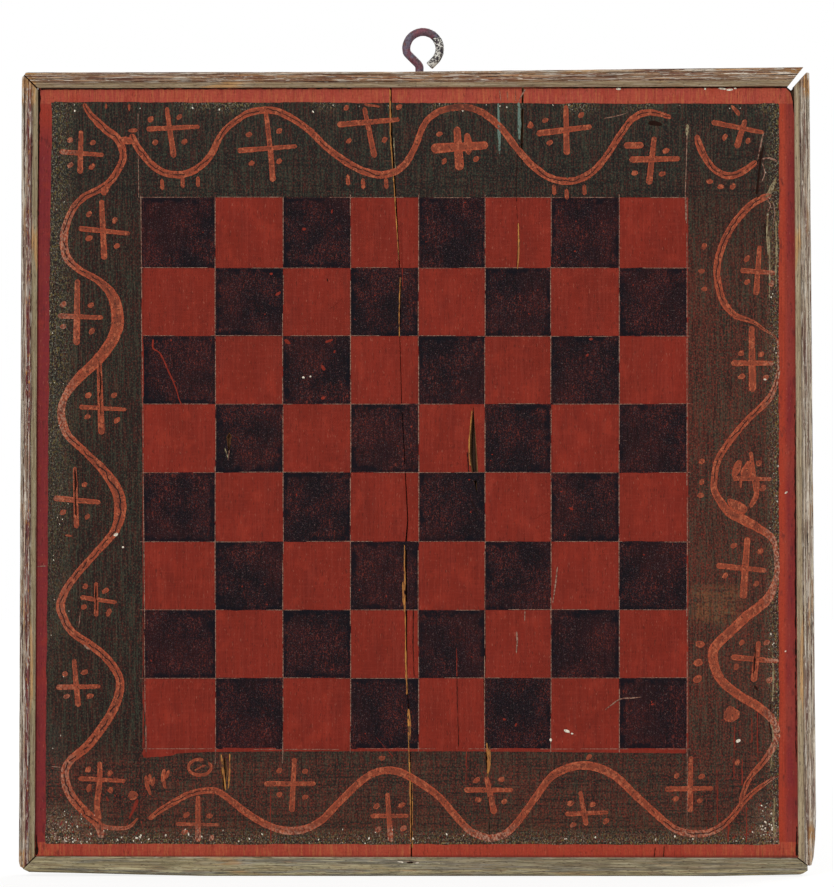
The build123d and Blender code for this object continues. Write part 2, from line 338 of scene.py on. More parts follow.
class Nodes:
    """The node tree of a material or world."""

    def __init__(self, owner):
        owner.use_nodes = True
        self.tree = owner.node_tree

    def add(self, kind, inputs=None, output=0, ramp=(), **settings):
        """Adds a node and gives one of its outputs. Colours are hex values or names of finishes."""
        node = self.tree.nodes.new("ShaderNode" + kind)
        for name, value in settings.items():
            setattr(node, name, value)
        for key, value in (inputs or {}).items():
            if isinstance(value, Value):
                self.tree.links.new(value.socket, node.inputs[key])
            else:
                node.inputs[key].default_value = tint(value) if isinstance(value, str) else value
        for number, (place, colour) in enumerate(ramp):
            stops = node.color_ramp.elements
            stop = stops[number] if number < 2 else stops.new(place)
            stop.position = place
            stop.color = tint(colour)
        return Value(self, node.outputs[output])

    def part(self, vector, axis):
        """One axis of a vector."""
        return self.add("SeparateXYZ", {"Vector": vector}, axis)

    def seen(self):
        """One where the camera looks, straight, by a reflection or through glass, and else nought."""
        camera, glossy, transmission = (self.add("LightPath", output=f"Is {ray} Ray")
                                        for ray in ("Camera", "Glossy", "Transmission"))
        return camera | glossy | transmission


class Look(Nodes):
    """A material being mixed, with the place on the object and on a stroke's or strip's own UV."""

    def __init__(self, name, roughness, specular):
        self.material = bpy.data.materials.new(name)
        super().__init__(self.material)
        self.shader = self.tree.nodes["Principled BSDF"].inputs
        self.shader["Roughness"].default_value = roughness
        self.shader["Specular IOR Level"].default_value = specular
        self.place = self.add("TexCoord", output="Object")
        chart = self.add("TexCoord", output="UV")
        self.x, self.depth, self.z = (self.part(self.place, axis) for axis in "XYZ")
        self.share, self.run = (self.part(chart, axis) for axis in "XY")

    def grain(self, size, seed=0.0, detail=3.0):
        """Noise whose features are size millimetres long on each axis."""
        scaled = self.add("Mapping", {"Vector": self.place, "Location": (seed, seed * 1.7, seed * 2.3),
                                      "Scale": tuple(1 / (length_ * MM) for length_ in size)})
        return self.add("TexNoise", {"Vector": scaled, "Scale": 1.0, "Detail": detail, "Roughness": 0.55})

    def patches(self, size, low, high, seed=0.0, detail=3.0):
        """A mask of the patches where such noise passes from low to high."""
        return self.grain(size, seed, detail).ramp(low, high)

    def coats(self, colour, *layers):
        """A base colour with layers over it, each a colour and how much of it covers."""
        for over, cover in layers:
            colour = self.add("Mix", {0: cover, UNDER: colour, OVER: over}, MIXED, data_type="RGBA")
        return colour

    def done(self, colour, heights, distance):
        """The material with its colour, bumped by (height, weight) pairs, distance in millimetres."""
        total = None
        for height, weight in heights:
            part = height * weight
            total = part if total is None else total + part
        bump = self.add("Bump", {"Height": total, "Distance": distance * MM, "Strength": 1.0})
        self.tree.links.new(colour.socket, self.shader["Base Color"])
        self.tree.links.new(bump.socket, self.shader["Normal"])
        return self.material


# Materials.

def red_oil_paint(name):
    """Red oil paint brushed down the boards: fine upright streaks and pale scuffs, orange in the
    bands above and below the border, and orange inside crimson in the bands at its sides."""
    look = Look(name, 0.66, 0.1)
    x, z = look.x, look.z
    blotch = look.patches((26, 26, 34), 0.4, 0.62, 1)
    streak = look.patches((0.9, 4, 16), 0.5, 0.62, 2, 2)
    dark_streak = look.patches((1, 4, 30), 0.54, 0.66, 8, 2)
    weave = look.patches((1.1, 4, 1.1), 0.4, 0.62, 10, 1)
    scuff = look.patches((0.8, 4, 3), 0.67, 0.71, 3, 1)
    sideways = look.patches((8, 4, 0.9), 0.52, 0.64, 12, 1)
    warm_spot = look.patches((10, 9, 13), 0.54, 0.68, 11)
    pore = look.patches((0.7, 4, 3.5), 0.67, 0.71, 4, 1)
    left = x.beyond(-200, -201)
    right = x.beyond(198, 198.6)
    left_foot = left * z.beyond(-60, -36)
    above = z.beyond(-31.6, -30.8)
    below = z.beyond(-444.4, -445)
    sides = left | right
    outer = left | x.beyond(201.8, 204.6) * 0.9
    warm = look.patches((12, 4, 50), 0.42, 0.6, 6)
    pure = below * x.beyond(-12, 0) * x.beyond(190, 120)
    yellow = (above | below) * look.patches((0.9, 4, 9), 0.52, 0.64, 9, 2)
    dirt = sides * look.patches((3, 4, 9), 0.62, 0.72, 5, 2)
    colour = look.coats(
        "brick", ("#7B2316", blotch * 0.55), ("#5E1910", look.patches((9, 9, 22), 0.46, 0.66, 7) * 0.45),
        ("#93331F", sides), ("crimson", sides * outer), ("#8A3024", left_foot), ("orange_band", above),
        ("#94392A", below), ("#A34A32", (above | below | right * 0.6) * warm * 0.45),
        # The dark line along the bottom edge, where the band meets the bottom moulding, is painted shade.
        ("#AC6A3E", yellow * 0.4), ("#98301F", pure * 0.6), ("#4A1D1B", z.beyond(-451.6, -452.8) * 0.6),
        ("#8E2E1D", warm_spot * 0.4), ("#87372A", streak * 0.2), ("#842D20", sideways * 0.2),
        ("#551911", dark_streak * 0.25), ("#5C1B12", weave * 0.2), ("#A0604D", scuff * 0.3),
        ("#35160F", pore * 0.4), ("#3E1A1C", dirt * 0.5))
    return look.done(colour, [(streak, 0.5), (pore, -0.9), (dark_streak, -0.4)], 0.07)


def border_oil_paint(name):
    """Thin brown-green oil paint over red: red and green fibres show through upright, brush marks
    run along above and below the field, and the outer edge is rubbed to pale flecks."""
    look = Look(name, 0.7, 0.1)
    x, z = look.x, look.z
    above = z.beyond(-98, -70)
    below = z.beyond(-388, -402)
    right = x.beyond(140, 150)
    by_field = right * x.beyond(166, 152) * z.beyond(-100, -120)
    ruddy = below | right * z.beyond(-40, -150)
    lengthwise = z.beyond(-84.5, -83.5) * z.beyond(-50, -62) | below
    cloud = look.patches((38, 20, 26), 0.36, 0.6, 11)
    red_fibre = look.patches((0.8, 4, 14), 0.53, 0.6, 13, 2)
    green_fibre = look.patches((0.9, 4, 20), 0.52, 0.6, 14, 2)
    dark_fibre = look.patches((0.9, 4, 26), 0.52, 0.6, 12, 2)
    sideways = look.patches((26, 4, 0.9), 0.52, 0.58, 15, 2)
    red_speck = look.patches((0.9, 4, 1), 0.56, 0.64, 16, 1)
    green_speck = look.patches((0.9, 4, 1.1), 0.54, 0.63, 26, 1)
    dark_speck = look.patches((1, 4, 1.2), 0.52, 0.62, 17, 1)
    worn_top = z.beyond(-38, -32) * look.patches((46, 20, 60), 0.5, 0.6, 25, 1)
    left_fringe = x.beyond(-193, -205) * z.beyond(-380, -150)
    edge = left_fringe * 0.75 | x.beyond(191, 198) * 0.9 | z.beyond(-436, -445) * 0.9 | worn_top
    corner = x.beyond(-172, -205) * z.beyond(-420, -440) | x.beyond(178, 196) * z.beyond(-414, -440)
    rubbed = edge | corner
    haze = x.beyond(-196, -206) * look.patches((30, 9, 60), 0.4, 0.6, 27, 1)
    smear = (x.beyond(147, 155) * x.beyond(182, 172) * z.beyond(-299, -304) * z.beyond(-325, -318)
             * look.patches((12, 4, 2.5), 0.36, 0.54, 28))
    by_left = x.beyond(-156, -158) * x.beyond(-170, -166) * look.patches((2.2, 4, 120), 0.48, 0.58, 50)
    pale = look.patches((0.8, 4, 1), 0.55, 0.63, 23, 1) * rubbed
    yellow = look.patches((0.9, 4, 1.6), 0.56, 0.63, 19, 1) * rubbed
    white = look.patches((0.8, 4, 0.9), 0.65, 0.7, 20, 1) * (corner | edge * 0.5)
    black = look.patches((0.9, 4, 1.4), 0.5, 0.58, 24, 1) * rubbed
    colour = look.coats(
        "border", ("border_green", above * 0.9), ("border_red", ruddy), ("#4A1C13", by_field * 0.55),
        ("#150B0C", x.beyond(-140, -150) * 0.2), ("#181110", cloud * 0.4), ("#35302A", haze * 0.5),
        ("#52341F", z.beyond(-425, -446) * 0.45), ("#7C4F30", smear * 0.65),
        ("#0E0B0B", by_left * 0.5), ("#0E0A0A", dark_fibre * 0.6),
        ("#5A2A20", red_fibre * (ruddy * 0.6 | 0.3)), ("#363C2E", green_fibre * 0.42),
        ("#131110", sideways * lengthwise * 0.7), ("#474C3C", green_speck * 0.36),
        ("#6E2A1F", red_speck * (ruddy * 0.7 | 0.25)), ("#0A0808", dark_speck * 0.55),
        ("#7A5546", corner * look.patches((3, 4, 2), 0.42, 0.56, 29, 2) * 0.6), ("#7C7A69", pale * 0.65),
        ("#7E6C36", yellow * 0.5), ("#0D0B0B", black * 0.75), ("#C4BCAC", white * 0.8))
    return look.done(colour, [(dark_fibre, -0.6), (sideways * lengthwise, -0.5), (pale, -0.5)], 0.09)


def black_oil_paint(name, loaded):
    """Thin black oil paint over red: red dust shows in the middle of each square. A loaded stroke
    is the thicker blue-black cut along a square's edge, and its UV runs from there inwards."""
    look = Look(name, 0.65, 0.06)
    cloud = look.patches((17, 9, 17), 0.4, 0.6, 31)
    ruddy = look.patches((44, 9, 50), 0.48, 0.6, 40, 1)
    dust = look.patches((0.65, 4, 0.7), 0.53, 0.62, 32, 1)
    purple = look.patches((0.6, 4, 0.6), 0.52, 0.62, 36, 1)
    ash = look.patches((0.6, 4, 0.6), 0.61, 0.67, 39, 1)
    upright = look.patches((0.8, 4, 14), 0.52, 0.62, 33, 2)
    grit = look.patches((0.8, 4, 0.8), 0.69, 0.72, 34, 1)
    scrape = look.patches((0.8, 4, 3), 0.68, 0.72, 38, 1)
    spread = cloud + 0.18
    colour = look.coats(
        "black", ("#230E10", cloud * 0.45), ("#3A1612", ruddy * 0.25), ("#2C1F2C", purple * 0.3),
        ("#52211B", dust * spread * 0.6), ("#4A3F42", ash * 0.4), ("#050405", upright * 0.55),
        ("#6E5A56", grit * 0.4), ("#7A3428", scrape * cloud * 0.5))
    if loaded:
        thick = (look.share + look.grain((6, 6, 6), 35) * 3.2).ramp(2.3, 1.8)
        broad = look.patches((40, 40, 40), 0.42, 0.5, 37, 1)
        colour = look.coats(colour, ("blue_black", thick * broad * 0.85))
    return look.done(colour, [(upright, -0.5), (cloud, 0.3), (grit, 0.5)], 0.06)


def ornament_oil_paint(name, crazed):
    """Orange-red oil paint laid in single strokes: thin and brown down the middle, thick and orange
    at the edges, and rubbed pale towards the board's edge. On the vine the middle has crazed open
    to the dark coat in a broken line."""
    look = Look(name, 0.62, 0.12)
    x, z, share, run = look.x, look.z, look.share, look.run
    off_middle = share - 0.5
    along = look.add("CombineXYZ", {"X": share * 6, "Y": run * 120})
    bristle = look.add("TexNoise", {"Vector": along, "Scale": 1, "Detail": 2})
    edge = (abs(off_middle) + bristle * 0.5).ramp(0.5, 0.66)
    speck = look.patches((0.9, 4, 0.9), 0.5, 0.6, 46, 1)
    # Painted highlights: pale orange patches scattered over the strokes.
    painted_highlight = look.patches((1.5, 4, 2.4), 0.56, 0.63, 48, 1)
    pits = look.patches((1, 4, 1), 0.62, 0.66, 42, 1)
    by_left = x.beyond(-193, -203) * 0.7
    kept = z.beyond(-240, -255) * z.beyond(-375, -355)
    rubbed = by_left * (1 - kept * 0.7) | x.beyond(190, 199) | z.beyond(-434, -443)
    worn = rubbed * look.patches((1.2, 4, 1.8), 0.44, 0.56, 43, 1)
    thin = x.beyond(10, 15) * x.beyond(32, 28) * z.beyond(-39, -37)
    rubbed_off = (rubbed * look.patches((1.6, 4, 2.6), 0.54, 0.6, 47, 1)
                  | thin * look.patches((2.6, 4, 1.6), 0.36, 0.5, 49, 1))
    colour = look.coats(
        "ornament", ("#5F2C1D", look.patches((7, 9, 9), 0.44, 0.6, 44) * 0.6), ("#A3462A", edge * 0.6),
        ("#B06040", painted_highlight * 0.55), ("#5C2E1F", speck * 0.5), ("#B08E78", worn * 0.6),
        ("#3C2019", (pits | rubbed_off) * 0.75))
    heights = [(bristle, 0.7), (edge, 0.5), (pits, -0.8)]
    if crazed:
        waver_place = look.add("CombineXYZ", {"X": run * 110})
        waver = look.add("TexNoise", {"Vector": waver_place, "Scale": 1, "Detail": 3})
        stray = waver - 0.5
        crack_line = abs(off_middle + stray * 1.1).ramp(0.085, 0.05)
        broken = look.patches((5, 5, 5), 0.41, 0.47, 41, 1)
        plain = (x.beyond(-126, -110) * z.beyond(-390, -400) * x.beyond(132, 118)
                 | x.beyond(-22, -14) * x.beyond(64, 56) * z.beyond(-80, -78)
                 | x.beyond(-150, -156) * z.beyond(-218, -212) * z.beyond(-134, -140)
                 | x.beyond(150, 156) * z.beyond(-398, -392) * z.beyond(-240, -246))
        crack = crack_line * broken * (1 - plain * 0.85)
        colour = look.coats(colour, ("#150C0B", crack * 0.95))
        heights.append((crack, -1.2))
    return look.done(colour, heights, 0.1)


def moulding_paint(name, reeded):
    """Old olive and cream paint on softwood strips, weathered until the hard grain stands up: dark
    and maroon streaks broken by white flakes on the reeds, a quieter olive fillet inside them, and
    tan wood where hands have rubbed it bare."""
    look = Look(name, 0.8, 0.12)
    share, run = look.share, look.run
    x, depth, z = look.x, look.depth, look.z

    def fibres(across, along, low, high, seed):
        """Streaks that run with the strip, across and along in millimetres."""
        layer = depth.math("MULTIPLY_ADD", depth, 1 / (across * MM), seed)
        where = look.add("CombineXYZ", {"X": share * (9 / across), "Y": run * (1000 / along), "Z": layer})
        return look.add("TexNoise", {"Vector": where, "Scale": 1, "Detail": 2}).ramp(low, high)

    behind = depth.beyond(9.5, 10.9)
    stray = fibres(3, 26, 0, 1, 8) - 0.5
    profile = stray * 0.2 + share
    on_reeds = share.ramp(0.31, 0.36)
    outer_side = share.ramp(0.98, 1) * depth.beyond(-9.8, -8.4)
    quiet = outer_side.ramp(0, 1, 1, 0.45)
    if reeded:
        stops = [
            (0, "#6A543E"), (0.035, "olive"), (0.32, "olive"), (0.34, "#4E3026"), (0.375, "#4E3026"),
            (0.4, "#A08B77"), (0.53, "#B09B87"), (0.55, "#58322A"), (0.585, "#58322A"), (0.605, "#A8917D"),
            (0.775, "#B19D8A"), (0.795, "#5A382E"), (0.825, "#5A382E"), (0.845, "#BDB1A0"),
            (0.96, "#B9AD9C"), (1, "#94846F")]
        colour = look.add("ValToRGB", {"Fac": profile}, ramp=stops)
        along_top = z.beyond(-22.6, -21.9)
        colour = look.coats(
            colour, ("#8A6751", along_top * 0.25),
            ("#B4906E", along_top * fibres(3, 60, 0.46, 0.58, 13) * on_reeds * 0.7))
        mid_top = along_top * x.beyond(-150, -90) * x.beyond(110, 60) * on_reeds * share.ramp(0.86, 0.8)
        colour = look.coats(
            colour, ("#AC7F55", mid_top * fibres(2, 30, 0.4, 0.52, 18) * 0.7),
            ("#7C4128", mid_top * fibres(1.1, 12, 0.53, 0.56, 19) * 0.8))
        at_side = z.beyond(-21, -24)
        on_left = x.beyond(-214, -215) * at_side
        on_right = x.beyond(207, 208) * at_side
        middle_reed = profile.ramp(0.39, 0.43) * profile.ramp(0.68, 0.62)
        worn_through = on_left * middle_reed * fibres(2.6, 90, 0.36, 0.46, 20)
        on_fillet = on_reeds.ramp(0, 1, 1, 0)
        colour = look.coats(
            colour, ("#C6BAA6", on_right * on_reeds * (fibres(2, 60, 0.38, 0.5, 22) | 0.5) * 0.6),
            ("#B08A6A", along_top * on_reeds * 0.35), ("#A69478", on_right * on_fillet * 0.5))
        maroon_reach = on_reeds.ramp(0, 1, 0.15, 0.9)
        white_reach = on_reeds.ramp(0, 1, 0.12, 0.9)
        hair_tint = "#5A3E31"
        soft_patch = look.patches((5, 5, 7), 0.3, 0.5, 14)
        handled = (x.beyond(-216, -217.6) * z.beyond(-34, -29)
                   | x.beyond(-218.6, -219.6) * z.beyond(-448, -451)
                   | x.beyond(212.4, 213.2) * z.beyond(-29, -25)
                   | x.beyond(196, 202) * z.beyond(-15, -14.2)
                   | x.beyond(214.6, 215.4) * z.beyond(-432, -437))
        bare = fibres(4, 50, 0.6, 0.66, 1) * 0.7 | handled * soft_patch * 0.9
    else:
        colour = look.coats(
            "#978B69", ("#7E796A", fibres(2, 60, 0.5, 0.57, 11)),
            ("#B0A885", fibres(0.8, 26, 0.55, 0.59, 12) * 0.75),
            ("#4B463B", fibres(0.6, 20, 0.59, 0.615, 15) * 0.7),
            ("#7F5D43", fibres(0.7, 12, 0.62, 0.64, 16) * 0.5))
        lip = share.ramp(0.09, 0.06)
        colour = look.coats(colour, ("#AFA68F", lip * fibres(9, 14, 0.46, 0.5, 17) * 0.6))
        inner = share.ramp(0.7, 0.55)
        greyer = inner * (x.beyond(-30, 20) * 0.8 | 0.25)
        colour = look.coats(colour, ("#6C6052", greyer * 0.6))
        worn_through = 0
        maroon_reach = 0.12
        white_reach = 0.1
        hair_tint = "#423A2C"
        bare = fibres(4, 50, 0.62, 0.68, 1) * 0.5
    hair = fibres(0.5, 60, 0.55, 0.59, 2)
    fine_hair = fibres(0.45, 12, 0.56, 0.6, 3)
    maroon = fibres(0.65, 38, 0.55, 0.575, 4) * maroon_reach
    white = (fibres(0.8, 13, 0.57, 0.595, 5) | fibres(0.6, 3.5, 0.62, 0.64, 9)) * white_reach
    black = fibres(0.5, 24, 0.62, 0.64, 6) * maroon_reach
    pit = fibres(0.5, 3, 0.63, 0.65, 10)
    soft = fibres(2, 30, 0.44, 0.62, 7)
    colour = look.coats(
        colour, ("#84745A", soft * 0.3), ("#8A7860", outer_side * 0.5), ("bare_wood", bare),
        (hair_tint, hair * 0.4), (hair_tint, fine_hair * 0.3), ("maroon", maroon * quiet * 0.8),
        ("#6E2C36", worn_through * 0.75),
        ("#B4803F", worn_through * fibres(0.9, 3, 0.6, 0.63, 21) * 0.85),
        ("cream", white * quiet * 0.8), ("#1E1412", black * quiet * 0.85), ("#3A2A22", pit * 0.6),
        ("pine", behind * 0.85))
    return look.done(colour, [(hair, -0.7), (fine_hair, -0.4), (maroon, -0.6), (white, 0.7),
                              (black, -0.7)], 0.2)


def end_grain(name):
    """Softwood cut across: dark weathered pores in rings, where a moulding ends."""
    look = Look(name, 0.9, 0.1)
    rings = look.add(
        "TexWave", {"Vector": look.place, "Scale": 1 / (3.2 * MM * 2 * pi), "Distortion": 2, "Detail": 3},
        output=1, wave_type="RINGS")
    dirt = look.grain((2, 2, 2), 61)
    colour = look.coats("#5A4636", ("#86694A", rings * 0.5), ("#2E231D", dirt))
    return look.done(colour, [(rings, 0.5), (dirt, 0.5)], 0.2)


def aged_pine(name, upright, pale):
    """Pine a hundred years old, planed by hand: honey brown gone dark in the air, with annual rings that
    bend round its knots, smoky streaks, and a brown that goes near black the deeper it lies in anything
    open on the face."""
    look = Look(name, 0.8, 0.2)
    depth = look.depth
    long, short = (260, 9) if upright else (9, 260)
    rings = look.grain((short * 3, 40, long), 71, 1) * 95
    knot = 0
    for x, z in KNOTS if upright else ():
        away = look.add(
            "Mapping",
            {"Vector": look.place, "Location": (-x * MM, 0, -z * MM * 0.55), "Scale": (1, 0, 0.55)})
        apart = look.add("VectorMath", {0: away}, output="Value", operation="LENGTH")
        bend = look.add(
            "MapRange", {"Value": apart, "From Min": 42 * MM, "From Max": 3 * MM, "To Max": 26},
            interpolation_type="SMOOTHERSTEP")
        rings = rings + bend
        knot = knot | apart.ramp(7 * MM, 5 * MM)
    line = rings.math("SINE", rings).ramp(-0.2, 0.95)
    turned = 1 if upright else -1
    fibre = look.patches((0.55, 3, 34)[::turned], 0.46, 0.7, 72)
    stain = look.patches((16, 30, 240)[::turned], 0.44, 0.68, 73)
    scuff = look.patches((0.9, 4, 14)[::turned], 0.63, 0.7, 74)
    torn = depth.beyond(-7.7, -7.1) * depth.beyond(2, 0.5)
    # Darker the deeper it lies inside anything open on the face.
    deep = depth.beyond(-7.2, -3.8) * depth.beyond(2, 0.5)
    colour = look.coats(
        pale, ("#6B4628", line * 0.55), ("#553A25", fibre * 0.5), ("#54402E", stain * 0.5),
        ("#A98658", scuff * 0.4), ("#3E2415", knot * 0.85), ("#6B4527", torn * 0.55),
        ("#1E120C", deep * 0.9))
    return look.done(colour, [(line, 0.5), (fibre, -0.7), (scuff, 0.4)], 0.22)


def split_wood(name):
    """Fresh yellow pine where a split has torn the paint away, with amber resin and dark ends."""
    look = Look(name, 0.7, 0.25)
    fibre = look.patches((0.5, 3, 9), 0.46, 0.62, 81)
    dirt = look.patches((1.2, 3, 4), 0.56, 0.64, 82)
    colour = look.coats("#8A5526", ("#B27A36", fibre), ("#2A1710", dirt * 0.85))
    return look.done(colour, [(fibre, 0.8), (dirt, -0.5)], 0.15)


def bared_ground(name):
    """Paint rubbed through to greenish primer and old wood, in streaks along the grain."""
    look = Look(name, 0.8, 0.15)
    fibre = look.patches((0.5, 3, 7), 0.44, 0.6, 91)
    fleck = look.patches((0.7, 3, 1.2), 0.54, 0.6, 92)
    teal = look.x.beyond(38, 39) * look.x.beyond(58, 57)
    colour = look.coats("#6E5A40", ("#8C8468", fibre), ("#4B6B66", teal * 0.75), ("#35251D", fleck * 0.8))
    return look.done(colour, [(fibre, 0.5), (fleck, -0.7)], 0.12)


def pale_line_paint(name):
    """A line scratched through the paint: dull pinkish grey powder in a hairline. It also draws one
    painted highlight on the vine's crest.
    """
    look = Look(name, 0.85, 0.1)
    broken = look.patches((1.1, 3, 1.1), 0.42, 0.58, 95)
    colour = look.coats("#5E3A30", ("#8A6C5C", broken))
    return look.done(colour, [(broken, 0.5)], 0.05)


def dark_crack_and_shade(name):
    """The dark bottom of a hairline crack, also laid as painted shade along the mouldings' inner edges, in
    the mitres and along the boards' seam.
    """
    look = Look(name, 0.95, 0)
    dust = look.grain((0.6, 2, 3), 97)
    return look.done(look.coats("#120A08", ("#33201A", dust * 0.8)), [(dust, 1)], 0.05)


def white_chip(name):
    """Chalky white and grey filler showing where the paint has come away in a chip."""
    look = Look(name, 0.85, 0.1)
    dirt = look.patches((0.8, 3, 0.8), 0.45, 0.6, 99)
    return look.done(look.coats("#D5CBB9", ("#8A7F70", dirt * 0.7)), [(dirt, -1)], 0.06)


def rusted_iron(name, painted):
    """Wrought iron long rusted in the dry: purple-brown scale, pitted, with a blue-grey bloom and
    orange rust in the pits. The hook keeps flakes of old white paint where its paint value says."""
    look = Look(name, 0.62, 0.4)
    pit = look.patches((0.9, 0.9, 0.9), 0.5, 0.66, 101)
    scale = look.grain((4, 4, 4), 102, 5)
    bloom = look.patches((3.5, 3.5, 3.5), 0.5, 0.62, 103)
    rust = look.patches((2.2, 2.2, 2.2), 0.58, 0.66, 104)
    maroon = look.patches((5, 5, 5), 0.4, 0.56, 108)
    colour = look.coats(
        "iron", ("#3A2A30", scale * 0.9), ("#70303F", maroon * 0.6), ("#5F6274", bloom * 0.5),
        ("#7A4632", rust * 0.65), ("#241614", pit * 0.55))
    heights = [(scale, 0.6), (pit, -0.7)]
    if painted:
        worn = look.add("Attribute", output="Fac", attribute_name="paint_left")
        fine = worn + look.grain((1.1, 1.1, 1.1), 105) * 0.7
        film = fine.ramp(0.82, 0.88)
        dirt = look.patches((1.3, 1.3, 1.3), 0.48, 0.66, 106)
        whole = look.z.beyond(-7.2, -8.4)
        flakes = look.patches((1.1, 1.1, 1.1), 0.49, 0.53, 107, 1) | whole
        white = look.coats("hook_paint", ("#8C8878", dirt * 0.6))
        black = fine.ramp(0.6, 0.72)
        colour = look.coats(colour, ("#1B171A", black * 0.9), (white, film * flakes))
        heights.append((film, 1.4))
    return look.done(colour, heights, 0.16)


def made_of(name, make, *arguments):
    """The material of that name, made the first time it is asked for."""
    return bpy.data.materials.get(name) or make(name, *arguments)


# The panel's lines, as (X, Z) in millimetres.

COLUMNS = (-156.8, -116.2, -78.4, -40.6, -2.5, 34.7, 71.7, 109.8, 147.8)
ROWS = (-83.7, -123.2, -161.3, -199.4, -237.7, -276.4, -314.7, -352.8, -392.6)
BAND = ((-208.0, -30.5), (199.0, -31.6), (199.0, -445.8), (-211.2, -445.4))
TOP_EDGE = ((-215.4, -22.6), (-18.0, -22.2), (207.8, -21.6))
BOTTOM_EDGE = ((-217.3, -452.7), (210.0, -453.4))
LEFT_EDGE = ((-452.7, -217.3), (-22.6, -215.4))
RIGHT_EDGE = ((-453.4, 210.0), (-21.6, 207.8))
SEAM = (
    (-18, -22.2), (-17.5, -49.5), (-15, -88.5), (-12.5, -135.5), (-13, -160.5), (-12, -198),
    (-8.5, -264.5), (-9.5, -276.5), (-9.5, -303.5), (-9, -350.5), (-7.5, -387.5), (-6.5, -421),
    (-6.5, -453.1))

# The painted ornament, measured on the face. A vine's points are X, Z and the stroke's width.
LEFT_VINE = (
    (-190, -31, 2.2), (-186, -37.5, 3.4), (-178.5, -45, 4.5), (-171, -51, 4.5), (-168, -59, 3.9),
    (-169.5, -66, 3.9), (-177, -76.5, 3.9), (-190.5, -84, 3.9), (-197.5, -93, 3.9), (-201, -105.5, 4.5),
    (-199.5, -117, 4.5), (-192, -124.5, 3.9), (-181.5, -130.5, 3.9), (-173.5, -139.5, 6),
    (-171, -152.5, 7), (-174, -163.5, 6.5), (-182, -174.5, 6), (-193, -185, 5.4), (-200.5, -195.5, 3.9),
    (-202.5, -205.5, 4.5), (-199, -216.5, 4.5), (-189.5, -226, 3.9), (-179, -236.5, 5),
    (-171.5, -247.5, 6.4), (-169.5, -258.5, 6.7), (-172.5, -270, 5), (-182, -281.5, 3.9),
    (-192, -292.5, 3.9), (-200, -303.5, 4.2), (-203, -312, 4.8), (-201.5, -318.5, 4.5),
    (-196.5, -327, 4.2), (-186, -334.5, 4.5), (-177, -342, 4.5), (-170, -353, 4.5), (-171, -364.5, 5),
    (-177, -376.5, 5), (-187.5, -390.5, 5), (-197.5, -399, 4.5), (-200.5, -405.5, 4.5),
    (-199.5, -413.5, 5), (-195.5, -421, 5), (-188.5, -428.5, 5), (-182, -435, 4.5), (-180, -442.5, 2.8))
TOP_VINE = (
    (-163.5, -48, 3), (-160.5, -54.5, 3.9), (-154, -63.2, 4.1), (-147, -68.8, 3.9), (-138.5, -71, 3.9),
    (-129, -69, 3.9), (-120, -61.5, 3.9), (-112.5, -48, 3.4), (-104.5, -40.5, 3.4), (-96, -35.8, 3.8),
    (-85, -34.8, 4), (-75, -38.5, 3.9), (-64.5, -45.5, 3.6), (-54, -55.5, 3.6), (-43.5, -63.5, 3.9),
    (-33, -69, 4.2), (-22.5, -71, 4.2), (-12, -67, 3.9), (-5, -56.5, 3.4), (1, -42.5, 3.4),
    (9, -35.5, 3.6), (21.5, -33, 3.9), (32, -35.5, 3.9), (43, -44, 3.9), (52, -55.5, 3.6),
    (61.5, -66, 3.9), (72, -73, 3.9), (83.5, -74.5, 3.9), (94, -70, 3.9), (102, -61.5, 3.6),
    (110, -49.5, 3.6), (117, -40, 3.6), (126.5, -36, 3.6), (139, -39, 2.2))
RIGHT_ARC = (
    (153.2, -48.5, 2.6), (154.5, -54, 4), (158.6, -62.5, 3.6), (164.5, -69, 3.6), (172, -71.6, 3.8),
    (180, -68.6, 3.6), (186.8, -63.5, 3))
RIGHT_VINE = (
    (195, -82, 3.4), (183.5, -88, 3.9), (173, -100, 3.9), (167, -112.5, 3.9), (164.5, -125, 3.9),
    (167.5, -140.5, 3.9), (174.5, -149.5, 3.4), (185, -153.5, 2.2), (191.5, -158, 1.4), (198, -163, 1.1),
    (199, -174.5, 1.1), (198.5, -184, 2.2), (194, -196, 3.6), (183, -207, 3.6), (174.5, -216.5, 3.6),
    (165.5, -230, 3.6), (163, -242, 3.6), (163.5, -248.5, 3.9), (168, -256, 4.5), (172, -260.5, 5),
    (180, -264.5, 5.6), (188, -269, 4.5), (195, -274, 3.9), (197.5, -281, 2.8), (198, -295, 3.2),
    (194, -307, 5.2), (188, -313, 5.6), (181.5, -318, 5.6), (173, -326, 5.4), (163.5, -335.5, 5.6),
    (162.5, -343.5, 5.4), (167, -354, 5), (176.5, -362, 5), (188.5, -369.5, 5), (196.5, -377.5, 4.5),
    (197.5, -388, 3.9), (191.5, -398.5, 3.4), (183.5, -408, 2.8), (179, -418, 2.8), (178, -425.5, 1.7))
BOTTOM_VINE = (
    (-153.5, -432, 2.2), (-148, -427.5, 3.1), (-139, -422, 3.4), (-131.5, -418, 3.4), (-123.5, -416, 3.4),
    (-116, -416, 3.6), (-110, -419.5, 3.6), (-99, -428, 3.9), (-88.5, -434.5, 3.9), (-78, -438, 4.2),
    (-67, -437.5, 4.2), (-57, -432.5, 3.9), (-48, -423.5, 3.9), (-38.5, -414, 3.9), (-28.5, -406.5, 3.9),
    (-18, -404.5, 4.2), (-7.5, -408, 4.2), (7.5, -418, 3.9), (17, -428.5, 3.9), (26, -438, 3.9),
    (37, -442.5, 4.2), (46, -440, 3.9), (54, -432, 3.9), (63.5, -419, 3.9), (72, -408, 4.2),
    (83.5, -402.5, 4.5), (96, -402.5, 4.8), (108, -408, 4.5), (118.5, -418, 4.2), (130, -428.5, 3.9),
    (140.5, -437, 3.9), (151, -440, 3.9), (162.5, -438.5, 3.9), (171.5, -432, 3.4), (181, -420.5, 2.8),
    (190.5, -412.5, 2.2), (199, -407.5, 1.1))

